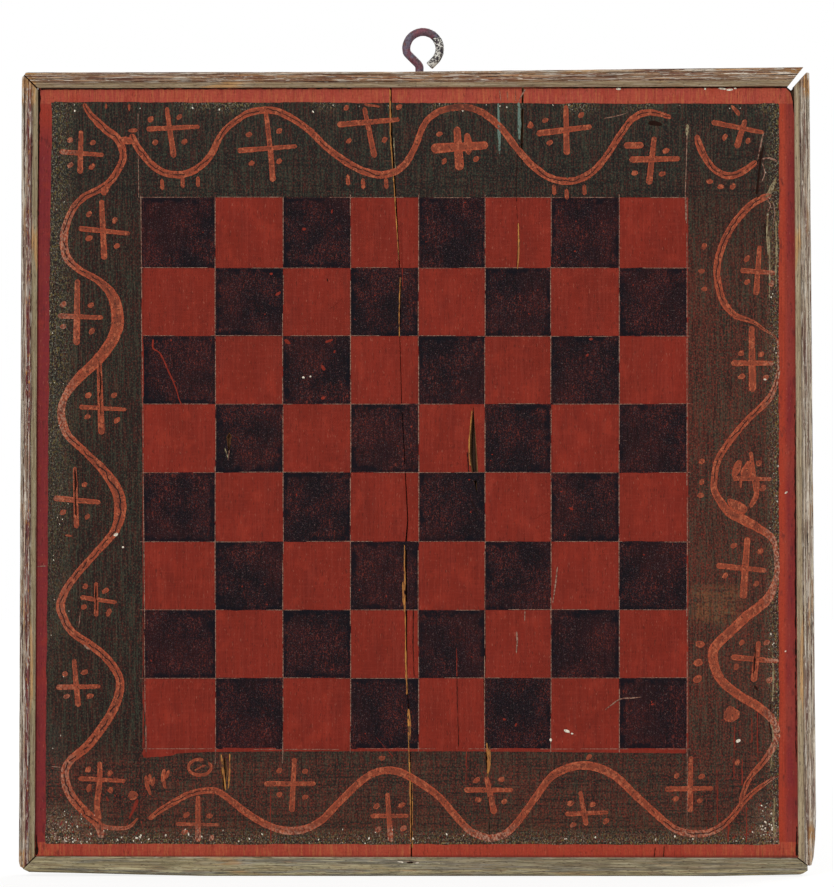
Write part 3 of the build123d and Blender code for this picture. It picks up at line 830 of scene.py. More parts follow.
# Each cross: the upright's points and width, the bar's ends and width, and its dots.
CROSSES = (
    (((-191.5, -46), (-192, -70.5)), 2.8, ((-203.5, -58), (-178.5, -60)), 2.8,
     ((-197.5, -51.5), (-185, -53), (-197.5, -65.5), (-185.5, -66.5))),
    (((-143.5, -33), (-139.5, -61.5)), 2.8, ((-155, -45.5), (-125, -44)), 2.8,
     ((-152.5, -40), (-150, -53), (-133.5, -52.5), (-136.5, -38.5))),
    (((-88, -36), (-85.5, -57), (-84, -75)), 2.8, ((-104, -57.5), (-70.5, -55)), 2.8,
     ((-97.5, -48.5), (-80.5, -46.5), (-96, -64.5), (-80.5, -63.5))),
    (((-33, -33), (-27, -61.5)), 2.8, ((-48, -43), (-13, -40)), 3.1,
     ((-41.5, -52), (-21.5, -51.5), (-43, -33.5), (-13.5, -33))),
    (((19, -44), (20.5, -68.5)), 4.4, ((4.5, -56.4), (36.5, -54.4)), 5.4,
     ((9.2, -48.2), (11.8, -63.4), (29.8, -62.2))),
    (((80, -32), (80.5, -60)), 3.1, ((63.5, -48), (94.5, -44)), 3.4,
     ((68.5, -40.5), (71, -53), (88.5, -37.5), (60, -43.5))),
    (((129.5, -49.5), (126.5, -76.5)), 3.1, ((115.5, -62.5), (144, -62)), 3.4,
     ((118.5, -70), (134, -70.5), (136, -57.5))),
    (((180.5, -40), (175.5, -56)), 3.1, ((161.5, -41.5), (191, -47.5)), 2.8, ((169, -50), (182, -52))),
    (((188.5, -110.5), (186.5, -138.5)), 2.8, ((177.5, -124.5), (197.5, -126)), 2.8,
     ((181.5, -118), (181.5, -131), (195, -132))),
    (((184, -155.5), (184.5, -192.5)), 3.6, ((172.5, -176.5), (196.5, -176.5)), 3.1,
     ((178, -171), (189.5, -171.5), (178.5, -184), (192, -184.5))),
    (((183.5, -226), (185.5, -241.5), (186.6, -249)), 2.5, ((173.5, -241), (195.5, -241.5)), 2.5,
     ((188, -232.5), (190.5, -246.5))),
    (((181.7, -273.8), (179.2, -308.4)), 3.7, ((164.2, -289.8), (192.2, -292.6)), 3.1,
     ((174, -278.6), (188.9, -281.8), (169.1, -295.5), (186.6, -300))),
    (((188, -332), (185, -355)), 3.1, ((172.5, -341), (199, -343.5)), 3.1,
     ((178.5, -333), (192.5, -333), (175.5, -346.5), (194, -354))),
    (((-180, -85), (-178.5, -118.5)), 3.1, ((-193, -101), (-164, -104)), 2.8,
     ((-187, -93), (-172.5, -96.5), (-187, -106.5), (-171.5, -111))),
    (((-193.5, -129.5), (-194, -166.5)), 3.4, ((-204.5, -150), (-179, -151)), 2.8,
     ((-201.5, -143.5), (-186, -144), (-201.5, -156), (-185.5, -158.5))),
    (((-181.5, -172.5), (-180, -216.5)), 3.1, ((-192.5, -201), (-166, -202.5)), 2.5,
     ((-187.5, -194.5), (-173, -194.5), (-188, -206.5), (-171.5, -208.5))),
    (((-195, -234.5), (-194, -269)), 2.5, ((-207, -252), (-180.5, -254.5)), 3.1,
     ((-189.5, -244.5), (-201.5, -260), (-188, -262.5))),
    (((-183, -299), (-183, -318.5)), 2.2, ((-192, -307.5), (-171.5, -310.5)), 2.5,
     ((-189, -301.5), (-178, -304), (-190, -313), (-176, -316))),
    (((-195.5, -342), (-193, -369)), 2.8, ((-205.5, -358), (-180.5, -357.5)), 2.8,
     ((-200.5, -350.5), (-189.5, -349.5), (-199.5, -363), (-186.5, -363))),
    (((-181, -399.5), (-181, -410), (-182.5, -423.5), (-181.5, -433.5)), 3.1,
     ((-193, -409), (-166.5, -410.5)), 2.5,
     ((-187.5, -404), (-175.5, -406), (-187, -414.5), (-175, -415.5))),
    (((-126, -418.5), (-126, -444.5)), 2.8, ((-138.5, -434.5), (-114, -435)), 2,
     ((-132.5, -429.5), (-119.5, -430), (-133.5, -439), (-118.5, -442.5))),
    (((-72, -397.5), (-73.5, -428)), 2.8, ((-89, -412), (-60, -412)), 2.8,
     ((-80.5, -404.5), (-66, -405), (-80.5, -418), (-66, -419.5))),
    (((-20, -417), (-18, -444.5)), 2.8, ((-29.5, -430), (-8, -430)), 2.5,
     ((-26, -424.5), (-12, -424), (-25, -437.5), (-11, -437))),
    (((35.5, -408), (40, -429)), 3.1, ((23, -415.5), (50.5, -415.5)), 2.8,
     ((30, -410), (44, -409.5), (31, -421), (45.5, -422))),
    (((88, -416), (91.5, -435.5)), 2.5, ((79.5, -429), (104, -428)), 2.5,
     ((82.5, -423), (95, -423.5), (84, -435), (102.5, -433))),
    (((150, -396.5), (149.5, -428)), 2.8, ((135.5, -415), (162.5, -414.5)), 2.8,
     ((142, -407.5), (156, -408), (141.5, -420.5), (155, -421.5))))

# Loose marks of the same paint: short upright dashes, dots in threes, and a few odd ones.
DASHES = (
    (-146, -76.5), (-134.5, -75.5), (-126, -75), (-42, -74), (-33.5, -76), (-20.5, -76), (73.5, -79.5),
    (80.5, -82), (90.5, -79.5))
LOOSE_DOTS = (
    (160.5, -74.7), (166.7, -77.6), (173.5, -77.6), (157.5, -111), (156, -125), (157.5, -135),
    (156, -231.5), (156, -243), (155.5, -250.5), (-23, -397.5), (93, -397), (176, -400))
BOLD_DOTS = ((155.1, -333.9), (154, -344.1), (153.7, -353.5))
ODD_STROKES = (
    ((-182, -434.5, 2.5), (-176.5, -436.5, 2.5), (-165.5, -436.5, 2), (-159.5, -431, 1)),
    ((24.6, -47.5, 2.6), (25.2, -54, 4.4), (25.6, -59.8, 2.4)),
    ((-171, -51.5, 2.4), (-166.5, -51.8, 4.2), (-162, -52.5, 3)),
    ((-165.2, -46.4, 1.8), (-159.8, -46, 2.4)), ((-176, -76, 3), (-179.4, -82.5, 3.8)),
    ((172.5, -32, 1.4), (176, -36, 2.2), (177, -38, 1.4)), ((-177.5, -31, 1.6), (-177.5, -34.5, 0.9)),
    ((-164.5, -31, 1.6), (-164.5, -35.5, 0.9)), ((-200.5, -272.8, 1.2), (-196, -273.3, 0.9)),
    ((-155.2, -407.4, 1.5), (-154.6, -412.5, 2.2), (-152.4, -418.5, 1.2)),
    ((-153, -406.4, 1.3), (-152.8, -412.5, 2.6)), ((-150.4, -408, 1.5), (-151.8, -413.5, 2.3)),
    ((-144.8, -403.6, 1.6), (-145.6, -408.5, 2.3), (-144.4, -414.8, 1.2)),
    ((-142.2, -404.2, 1.6), (-144.2, -409.5, 2)), ((-128, -404.5, 0.9), (-121.5, -401.5, 0.9)),
    ((177.5, -230.5, 2.2), (175.5, -236, 4.4), (173.5, -240.5, 1.5)),
    ((183, -231, 2.2), (181.5, -237, 6.5), (179.5, -241, 6)), ((178, -241, 1.6), (178, -246.5, 0.9)),
    ((170.5, -252.8, 2), (175.5, -256.6, 6), (181.5, -259.2, 4.6)),
    ((187.1, -242, 2.4), (186.6, -250.3, 2.8), (183.1, -257.3, 2.4)), ((60, -41, 2), (61, -45, 2.6)),
    ((-33, -31.5, 1.4), (-24, -33, 1.1)), ((112.4, -54.6, 3.4), (123.5, -54.4, 3.7)))
EYE_RING = ((-125, -402.8), 6.4, 4.4)
RED_DISC = ((172.5, -373), 4.6)

# Wear. Each row of points is X, Z and width.
SEAM_EDGE = ((-18.5, -23, 0.7), (-18.3, -36, 0.7), (-18.2, -50, 0.7), (-16.9, -68, 0.5), (-15.5, -88, 0.4))
SPLIT_STROKES = (
    SEAM_EDGE, ((53.4, -98, 0.5), (53.6, -112, 0.9), (52.9, -124, 0.5)),
    ((-9.5, -337, 0.5), (-9.4, -350, 0.7), (-8.9, -362, 0.9)),
    ((-8.2, -370, 0.8), (-7.7, -378, 1.7), (-7.6, -388, 0.8)),
    ((-7.4, -400, 0.4), (-7, -422, 0.5), (-7, -445, 0.4)),
    ((-6, -408, 0.3), (-5.9, -430, 0.4), (-6, -448, 0.4)),
    ((-15.8, -84, 0.4), (-14.7, -101, 0.5), (-13.6, -119, 0.35)),
    ((-12.8, -128, 0.3), (-13.3, -150, 0.5), (-13.3, -162, 0.3)),
    ((-10.2, -306, 0.4), (-9.8, -330, 0.5), (-9.9, -346, 0.4)),
    ((-8.4, -380, 0.4), (-7.7, -400, 0.5), (-7.3, -424, 0.4)),
    ((-11.4, -299, 0.4), (-10.9, -307, 1.3), (-10.3, -316, 0.5)),
    ((-10.4, -278, 0.5), (-10.3, -296, 0.9), (-10.2, -304, 0.6)),
    ((35.6, -389, 0.8), (36.6, -398, 1.5), (36.2, -408, 0.7)),
    ((37.4, -390, 0.5), (37.5, -398, 0.8), (37, -406, 0.5)),
    ((-113, -395.5, 0.8), (-111.9, -405, 1.1), (-110.4, -416, 0.6)),
    ((-108.2, -395, 0.6), (-108.3, -405, 0.9), (-109, -415, 0.6)),
    ((27.4, -203, 0.5), (25.8, -222, 0.6), (26.4, -234, 0.5)))
BARE_STROKES = (
    ((42.2, -31, 1), (42.6, -46, 1.7), (42.9, -59.5, 0.8)),
    ((53.6, -30.5, 1.2), (54, -42, 2), (53.9, -51.5, 0.8)),
    ((148.2, -42.6, 1.2), (148, -46, 1.8), (147.6, -49, 0.8)), ((-16.4, -50, 0.4), (-15.4, -70, 0.4)),
    ((193.5, -102, 0.6), (194.2, -122, 0.9), (193.8, -140, 0.5)),
    ((197.5, -73, 1.2), (195, -79, 2.4), (191.5, -85, 1)),
    ((193.2, -92, 0.5), (192.6, -104, 1.1), (193.4, -116, 0.5)),
    ((197.6, -96, 0.6), (198, -116, 1), (197.4, -134, 0.6)),
    ((195.4, -336, 0.5), (196.2, -352, 0.8), (195.6, -366, 0.4)),
    ((194, -372, 0.6), (196.2, -386, 1.1), (194.6, -404, 0.6)),
    ((197, -420, 0.8), (196.4, -432, 1.6), (197, -442, 0.8)), ((-110.9, -224, 0.5), (-109, -230, 0.5)))
CRACKS = (
    ((55.8, -52, 0.35), (53, -60, 0.3), (52.4, -84, 0.3), (53.2, -104, 0.25), (52.6, -124, 0.3)),
    ((-5.2, -309, 0.3), (-5.6, -330, 0.4), (-5, -352, 0.25)),
    ((19, -352, 0.3), (19.4, -370, 0.25), (20, -393, 0.3)),
    ((126, -42, 1.8), (130, -42.2, 2.6), (134, -43, 1.6)),
    ((190.6, -54.6, 0.8), (189, -63, 1.4), (187.8, -73, 1), (186.8, -82, 1.6)),
    ((34.6, -303, 0.3), (34.9, -336, 0.25), (34.5, -370, 0.3), (35.2, -388, 0.4)),
    ((36.4, -409, 0.3), (37, -430, 0.25), (37.4, -446, 0.3)), ((24.8, -226, 0.6), (25.6, -238, 0.5)),
    ((26.9, -253, 0.4), (31.1, -262, 0.3)), ((130, -447.5, 0.5), (129.4, -453, 0.6)),
    ((135, -446.5, 0.5), (134.6, -453, 0.5)), ((195, -366, 0.4), (194, -378, 0.5), (196, -390, 0.4)),
    ((186.6, -84.5, 2.2), (190.2, -83, 1.6)), ((188.6, -57, 1.2), (187.6, -64, 0.9)),
    ((191.5, -98, 0.8), (191.8, -106, 0.5)), ((185.6, -357, 1.4), (187.6, -360, 1)),
    ((-53.8, -129, 0.9), (-53.4, -131, 0.5)), ((156.5, -432.5, 0.8), (159.5, -433.2, 0.8)))
RED_SCRATCHES = (
    ((-151, -163, 0.9), (-151, -168, 0.9), (-147, -171.5, 0.7), (-142, -182, 0.9),
     (-138.5, -190.5, 0.7), (-136, -198, 0.7), (-132.4, -206.5, 0.4), (-128.4, -213.9, 0.3)),
    ((-45, -140, 0.4), (-52, -146, 0.5)), ((61, -264, 0.4), (72, -259, 0.4)),
    ((-13.8, -86, 0.35), (-12.2, -110, 0.35), (-11.3, -134, 0.3)),
    ((-159.8, -420.6, 1.6), (-161, -424, 2), (-164.5, -431.5, 1)), ((18.8, -336, 0.35), (19, -352, 0.4)),
    ((24.4, -392, 0.5), (24.2, -402, 0.4), (24, -413, 0.3)), ((-26.3, -386, 0.3), (-16.4, -397.4, 0.35)),
    ((-85.2, -415, 0.4), (-85.4, -430, 0.45), (-85.2, -445, 0.4)),
    ((184.2, -375, 0.4), (184.2, -389, 0.5)), ((187.4, -372, 0.4), (187.2, -386, 0.5), (187.6, -400, 0.4)),
    ((174.3, -380, 0.4), (174.2, -409, 0.4)), ((164.6, -403, 0.4), (164.8, -434, 0.45)),
    ((178.8, -398, 0.5), (178.6, -413, 0.4)), ((181, -424, 0.5), (181.2, -436, 0.6), (181, -445, 0.5)),
    ((171, -434, 0.5), (170.8, -445, 0.6)))
PALE_SCRATCHES_AND_HIGHLIGHTS = (
    ((191.5, -157.6, 0.4), (195, -160.2, 0.6), (198.4, -162.8, 0.4)),
    ((198.6, -182, 0.4), (196.5, -190, 0.6), (192.5, -196.5, 0.5)),
    ((-216.2, -290.4, 0.4), (-210.8, -290, 0.4)), ((-191.8, -315.4, 0.4), (-192.8, -324.5, 0.4)),
    ((-190.4, -332.8, 0.6), (-188, -336, 1.2), (-182.6, -337.4, 0.8)),
    ((102, -370.5, 0.4), (106, -367.5, 0.6), (110.5, -364.5, 0.5), (117, -364, 0.7), (122, -363.5, 0.4)),
    ((52.5, -326.5, 0.5), (52.7, -332, 0.9), (52.3, -339, 0.5)), ((57.1, -315, 0.5), (56.9, -321, 0.4)),
    ((75.3, -290.5, 0.5), (74.2, -300, 0.8), (72.6, -311, 0.5)),
    ((-108.4, -225, 0.5), (-109.3, -231, 0.4)), ((-116.2, -392.6, 0.4), (-116.4, -401.5, 0.3)),
    ((-78.4, -392.6, 0.4), (-78.8, -401, 0.3)),
    ((148, -44.5, 0.5), (147.4, -66, 0.4), (146.9, -83, 0.5), (147.2, -97, 0.6)),
    ((-159.6, -36, 0.25), (-159.4, -60, 0.3), (-159.2, -84, 0.3)),
    # A painted highlight on the vine's crest, drawn as a pale line.
    ((119.6, -37.8, 0.6), (124, -35.4, 0.8), (128.8, -34.8, 0.6)),
    ((101, -39.5, 0.4), (109, -38, 0.35), (115, -36, 0.3)),
    ((147.9, -393, 0.4), (148, -414, 0.3), (147.8, -438, 0.4)),
    ((190.8, -47, 0.6), (189.2, -54, 0.8), (187.4, -63, 0.5)),
    ((189.5, -62.4, 0.5), (193.6, -61.6, 1), (198.4, -63.4, 0.9)), ((43, -23.5, 0.4), (43.6, -30, 0.3)),
    ((47, -24, 0.4), (47.5, -29.5, 0.3)), ((51.5, -23.4, 0.3), (52, -30, 0.3)),
    ((57.4, -23, 0.9), (55, -27, 0.5), (53.5, -30.2, 0.3)),
    ((189.8, -64, 0.4), (191.4, -70, 0.5), (189.6, -75, 0.4)),
    ((192, -84, 0.5), (194.6, -88, 0.6), (193, -92, 0.5)),
    ((195.8, -86, 0.4), (197, -92, 0.5), (196.2, -99, 0.4)),
    ((-208.5, -402.3, 0.4), (-202.5, -402.8, 0.4)))
# Dark fill inside the open mitres: dirt in the joints, and painted shade of the gaps.
MITRE_SHADE_AND_DIRT = (
    ((-215.8, -22.8, 1.4), (-223.4, -15.2, 1.4)), ((-217, -452.6, 1.4), (-224, -459.4, 1.4)),
    ((209.6, -453.4, 1.4), (215.4, -457.8, 1.4)))
# Painted shade: dark lines along the mouldings' inner edges, where the raised rims shade the face.
RIM_SHADE_LINES = (
    ((-214.9, -23, 1.6), (-215.2, -52, 0.8), (-215.6, -95, 0.4)),
    ((-215.9, -96, 0.5), (-216.2, -130, 0.9), (-216.3, -150, 0.4)),
    ((208.3, -200, 0.4), (208.6, -270, 0.8), (208.9, -400, 0.5)),
    ((-214, -22.9, 0.9), (-120, -22.8, 0.4), (-40, -22.6, 0.5)),
    ((60, -22.4, 0.3), (130, -22.1, 0.7), (204, -21.9, 0.8)), ((-216.2, -440, 0.4), (-216.4, -452, 1.8)),
    ((-214, -453, 1), (-150, -453.1, 0.5), (-60, -453.2, 0.6)), ((209.2, -436, 0.5), (209.4, -452.4, 1.4)))
CRAZING = (
    ((-181.3, -176, 0.4), (-180.5, -186, 0.8), (-180.9, -196, 0.5), (-180.2, -206, 0.3)),
    ((-195, -236, 0.6), (-194.5, -243, 1.4), (-194.8, -250, 0.7), (-194.2, -262, 1)),
    ((-183, -301, 0.5), (-183.2, -306, 0.9), (-182.8, -315, 0.4)),
    ((186.2, -335, 0.5), (185.6, -345, 1), (185, -352, 0.4)))
CHIPS = (
    (-51, -91.5, 1.1, 0.5, 80), (-85, -126.5, 1, 0.7, 0), (-81, -137.5, 2, 0.8, 35),
    (-76, -164.5, 2, 1.1, -40), (-52.5, -164, 2.2, 0.8, 20), (-56, -179, 1.8, 0.9, -60),
    (-56, -196, 1.4, 0.8, 30), (-49.5, -170, 1, 0.5, 70), (-66.5, -101.5, 1.2, 0.9, 10),
    (-64, -158.5, 0.8, 0.5, 0), (52, -379, 1.2, 0.5, 60), (45.5, -376, 1, 0.6, -30),
    (94, -163, 1.2, 0.8, 15), (92, -172, 0.9, 0.6, 50), (128.5, -367.5, 0.9, 0.5, 20),
    (13, -281, 1, 0.7, 40), (-20, -330, 0.8, 0.6, 0), (83, -258, 1.3, 0.6, -25))
WHITE_CHIPS = (
    (-67, -184.5, 0.7, 0.6, 0), (-63, -184, 0.6, 0.5, 0), (80.5, -382.5, 1.7, 0.8, -20),
    (83.5, -384, 0.7, 0.5, 0), (71.5, -387.5, 0.7, 0.9, 10), (-172, -272.5, 1.4, 0.9, 35),
    (176.5, -388, 1.3, 1, 20), (203.4, -248.9, 1, 0.4, 30), (203, -337.8, 0.6, 0.4, 20),
    (191.5, -185.5, 0.8, 0.7, 0), (-168, -279.5, 0.6, 0.6, 0), (109.5, -22.9, 1.4, 0.6, 0),
    (167.5, -22.8, 2.2, 0.5, -5), (171.5, -23.4, 2, 0.6, 5), (174.8, -22.6, 0.8, 0.5, 0),
    (158, -22.9, 0.5, 0.7, 0))

# Mouldings. A run has its panel edge, its widths and span along it, the way it faces, and the lines
# that cut its ends: mitres, and arrises worn round.
RUNS = {
    "top": {
        "edge": TOP_EDGE, "upright": False, "outward": 1, "span": (-224, 216),
        "widths": ((-226, 8.9), (-18, 8.8), (216, 10.8)),
        "cuts": (
            ((-215.6, -22.4), (-223, -15.1)), ((-223, -15.1), (-222.4, -14.1)),
            ((-222.4, -14.1), (-220.6, -13.2)), ((218.4, -4), (204, -21.9)))},
    "left": {
        "edge": LEFT_EDGE, "upright": True, "outward": -1, "span": (-460, -14),
        "widths": ((-466, 8.9), (-8, 9.2)),
        "cuts": (
            ((-216, -23.2), (-223.4, -15.6)), ((-223.4, -15.6), (-224.3, -16.4)),
            ((-224.3, -16.4), (-224.7, -18)), ((-226.2, -455.3), (-225.5, -458.2)),
            ((-225.5, -458.2), (-223.9, -459.1)), ((-223.9, -459.1), (-217, -452.1)))},
    "right": {
        "edge": RIGHT_EDGE, "upright": True, "outward": 1, "span": (-459, -12.5),
        "widths": ((-466, 10.3), (-8, 8.5)),
        "cuts": (
            ((206.1, -23.4), (214.7, -13.8)), ((214.7, -13.8), (215.8, -14)), ((215.8, -14), (226, -24)),
            ((220.1, -424), (219.5, -443)), ((219.5, -443), (218.5, -453.3)),
            ((218.5, -453.3), (217.4, -457.4)), ((217.4, -457.4), (215.9, -457.9)),
            ((215.4, -457.4), (204, -448.6)))},
    "bottom": {
        "edge": BOTTOM_EDGE, "upright": False, "outward": -1, "span": (-225, 217),
        "widths": ((-227, 8.6), (-125, 10.8), (164, 10.4), (222, 9.2)),
        "cuts": (
            ((-216.9, -453.1), (-223.8, -459.6)), ((-223.8, -459.6), (-220.5, -461.3)),
            ((210.4, -462.9), (212.8, -462.1)), ((212.8, -462.1), (215.3, -460.4)),
            ((215.3, -460.4), (215.2, -458)), ((215.2, -458), (209.6, -453.8)))}}
KNOTS = ((-118, -150), (96, -214), (148, -398), (-52, -352), (-176, -300))
BRAD_PLACES = {
    "top": (-184, -98, -40, 52, 122, 184), "bottom": (-184, -98, -40, 52, 122, 184),
    "left": (-46, -138, -232, -328, -424), "right": (-46, -138, -232, -328, -424)}
STATION_STEP = 2.6
BRAD_POCKET = (2.8, 1.6, 3.0)
BRAD_DEPTH = 1.0
# The tight mitres touch at the back and stand open at the front. The top right one gapes all through.
MITRE_LEAN = 0.014
OPEN_MITRE = (("top", (218.4, -4.0)), ("right", (206.1, -23.4)))


def crown(start, end, rise, points=6):
    """(Share, sink) points over a rounded reed, from quirk to quirk."""
    return [(start + (end - start) * number / points, rise * (1 - sin(pi * number / points) ** 0.6))
            for number in range(points + 1)]


def reeded_outline():
    """The reeded section as (share of the width, sink behind the rim's front) points."""
    front = [(0.0, 0.35), (0.012, 0.06), (0.06, 0.0), (0.12, 0.02), (0.18, 0.0), (0.24, 0.03), (0.30, 0.0),
             (0.335, 0.05), (0.355, 0.7), (0.375, 1.0)]
    front += crown(0.395, 0.545, 0.9, 5) + crown(0.58, 0.80, 0.9, 8) + crown(0.82, 1.0, 0.9, 8)[:-1]
    return front


def plain_outline():
    """The plain strip's section, its outer front arris rounded by wear."""
    flat = [(0.0, 0.3), (0.015, 0.05)] + [(0.06 * number, 0.03 * (number % 2)) for number in range(1, 13)]
    bend = [(0.74 + 0.26 * sin(radians(angle)), 2.6 * (1 - cos(radians(angle))))
            for angle in (0, 15, 30, 45, 60, 75)]
    return flat + bend


def moulding(name):
    """One moulding as a bmesh: its section run along the panel's edge and cut at its mitres."""
    run = RUNS[name]
    sizes = bpy.context.scene.board_sizes
    front_points = plain_outline() if name == "bottom" else reeded_outline()
    depth = (sizes.back - sizes.rim_front) / MM
    side_steps = 9
    last_sink = front_points[-1][1] + (0.6 if name != "bottom" else 0.9)
    outline = [(0.0, depth - (depth - 0.5) * step / 4) for step in range(4)]
    outline += front_points
    outline += [(1.0, last_sink + (depth - last_sink) * step / side_steps)
                for step in range(side_steps + 1)]
    outline += [(1 - step / 4, depth) for step in range(1, 5)]
    start, end = run["span"]
    stations = round((end - start) / STATION_STEP)
    weathering = sizes.weathering / MM

    def place(u, v):
        share, sink = outline[round(u * (len(outline) - 1))]
        along = start + (end - start) * v
        width = along_line(run["widths"], along)
        reach = share * width
        on_front = 0 < share < 1 and sink < 3
        on_side = share == 1.0 and 0 < sink < depth
        wear = weathering * (noise.noise(Vector((reach * 1.9, along * 0.035, 4.1)))
                             + 0.7 * noise.noise(Vector((reach * 4.3, along * 0.11, 8.8))))
        if on_front:
            sink += wear
        elif on_side:
            reach -= abs(weathering * 1.3 * noise.noise(Vector((sink * 1.1, along * 0.04, 2.2))))
        edge = along_line(run["edge"], along)
        away = edge + run["outward"] * reach
        y = sizes.rim_front + sink * MM
        return spot(away, along, y) if run["upright"] else spot(along, away, y)

    def chart(u, v):
        return (outline[round(u * (len(outline) - 1))][0], (start + (end - start) * v) * MM)

    bm = bmesh.new()
    bent_grid(bm, len(outline) - 1, stations, place, chart)
    bmesh.ops.remove_doubles(bm, verts=bm.verts, dist=0.00001)
    bmesh.ops.recalc_face_normals(bm, faces=bm.faces)
    fill_ends(bm, 1)
    middle = (start + end) / 2
    heart = (along_line(run["edge"], middle) + run["outward"] * 4.0, middle)
    heart = heart if run["upright"] else heart[::-1]
    for first, second in run["cuts"]:
        line = Vector((second[0] - first[0], second[1] - first[1])).normalized()
        normal = Vector((line.y, -line.x))
        if normal.dot(Vector(heart) - Vector(first)) > 0:
            normal.negate()
        mitred = abs(line.x) > 0.3 and abs(line.y) > 0.3
        lean = MITRE_LEAN if mitred and (name, first) not in OPEN_MITRE else 0.0
        bmesh.ops.bisect_plane(bm, geom=bm.verts[:] + bm.edges[:] + bm.faces[:], dist=0.000001,
                               plane_co=spot(first[0], first[1], sizes.rim_front),
                               plane_no=Vector((normal.x, -lean, normal.y)).normalized(), clear_outer=True)
        fill_ends(bm, 1 if mitred else 0)
    return bm


def fill_ends(bm, material_index):
    """Closes every open end. A face of the first material is charted as the strip's outer side."""
    uv_layer = bm.loops.layers.uv.verify()
    open_edges = [edge for edge in bm.edges if edge.is_boundary]
    if open_edges:
        for face in bmesh.ops.holes_fill(bm, edges=open_edges, sides=0)["faces"]:
            face.material_index = material_index
            for loop in face.loops:
                loop[uv_layer].uv = (1.0, loop.vert.co.x + loop.vert.co.z)


def carve(piece, cutter_bm):
    """Cuts closed shapes out of a piece."""
    bmesh.ops.recalc_face_normals(cutter_bm, faces=cutter_bm.faces)
    cutter = new_object("cutter", cutter_bm)
    cut = piece.modifiers.new("pockets", "BOOLEAN")
    cut.operation = "DIFFERENCE"
    cut.solver = "EXACT"
    cut.object = cutter
    graph = bpy.context.evaluated_depsgraph_get()
    carved = bpy.data.meshes.new_from_object(piece.evaluated_get(graph), depsgraph=graph)
    piece.modifiers.remove(cut)
    piece.data = carved
    bpy.data.meshes.remove(cutter.data)


class CHECKERBOARD_OT_boards(bpy.types.Operator):
    """Gives the bare boards, battens, nails and brads their aged pine and rusted iron"""

    bl_idname = "checkerboard.boards"
    bl_label = "Boards, Battens and Nails"

    def execute(self, context):
        pine = made_of("aged_pine", aged_pine, True, "#9A7148")
        batten_pine = made_of("planed_batten_pine", aged_pine, False, "#A87F52")
        iron = made_of("rusted_cut_iron", rusted_iron, False)
        kinds = {"board": pine, "batten": batten_pine, "brads": iron, "nails": iron}
        for name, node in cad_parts.items():
            kind = name.split("_")[-1]
            if kind in kinds:
                dress(node, kinds[kind])
        # A dark ribbon along the seam on the boards' back: painted shade of the joint.
        bm = bmesh.new()
        back = context.scene.board_sizes.back
        made = stroke(bm, [(x, z, 0.5) for x, z in SEAM], 0.0, 5, ridge=0.0, ragged=0.1)
        for vert in made:
            vert.co.y = back + 0.015 * MM
        piece = new_film("seam_shade_line", bm, made_of("crack_dirt", dark_crack_and_shade), "bare_pine")
        piece.data.flip_normals()
        return {"FINISHED"}


class CHECKERBOARD_OT_ground(bpy.types.Operator):
    """Paints the red ground over both boards"""

    bl_idname = "checkerboard.ground"
    bl_label = "Red Ground"

    def execute(self, context):
        red = made_of("brushed_red_oil_paint", red_oil_paint)
        dress(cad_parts["red_ground"], red)
        base = context.scene.board_sizes.dark_face
        bm = bmesh.new()
        left, right = COLUMNS[0], COLUMNS[-1]
        foot = ROWS[-1]
        stroke(bm, ((left - 0.4, foot - 2.4, 5.6), (-143, foot - 1.6, 5.4), (-128, foot - 0.4, 3.4),
                    (-60, foot - 0.3, 2.2), (40, foot - 0.4, 2.2), (110, foot - 0.8, 2.8),
                    (right, foot - 0.9, 3.4)), base, 1, ridge=0.03 * MM, blunt=SQUARE_END)
        stroke(bm, ((left - 0.5, ROWS[1], 0.5), (left - 0.3, -158, 1.2), (left - 0.1, -198, 1.3),
                    (left, -238, 0.5), (left, -274, 0.6), (left + 0.5, -312, 1.6),
                    (left + 0.5, foot, 1.6)), base, 2, ridge=THIN_RIDGE, blunt=SQUARE_END)
        stroke(bm, ((BAND[0][0] - 0.6, BAND[0][1] + 1, 4.2), (BAND[0][0] - 0.8, -52, 2.6),
                    (BAND[0][0] - 1.2, -90, 1.4)), base, 4, ridge=THIN_RIDGE, blunt=SQUARE_END)
        stroke(bm, ((right + 0.3, ROWS[0], 0.8), (right + 0.3, -230, 1.0), (right + 0.3, foot, 1.2)),
               base, 3, ridge=THIN_RIDGE, blunt=SQUARE_END)
        new_film("ground_edges", bm, red, "red_oil_paint")
        return {"FINISHED"}


# The ways into a square from its top, right, bottom and left edges.
INWARDS = ((0, -1), (-1, 0), (0, 1), (1, 0))
# Strokes that only cut in an edge lie almost flat and end square.
THIN_RIDGE = 0.02 * MM
SQUARE_END = 0.1
# How far films stand off the dark coats' face.
ORNAMENT_LIFT = 0.02 * MM
WEAR_LIFT = 0.06 * MM
SCRIBED_LIFT = 0.075 * MM
CRAZING_LIFT = 0.13 * MM
# How many tiny chips fall on the dark squares, in the bottom corners and along the border's sides.
SQUARE_CHIPS = 60
CORNER_CHIPS = 80
SIDE_CHIPS = 170
# Where the chips of the border fall. A place named twice gets twice as many.
CHIPPED_SIDES = ("left", "right", "bottom", "bottom", "top", "corner", "corner", "right corner")


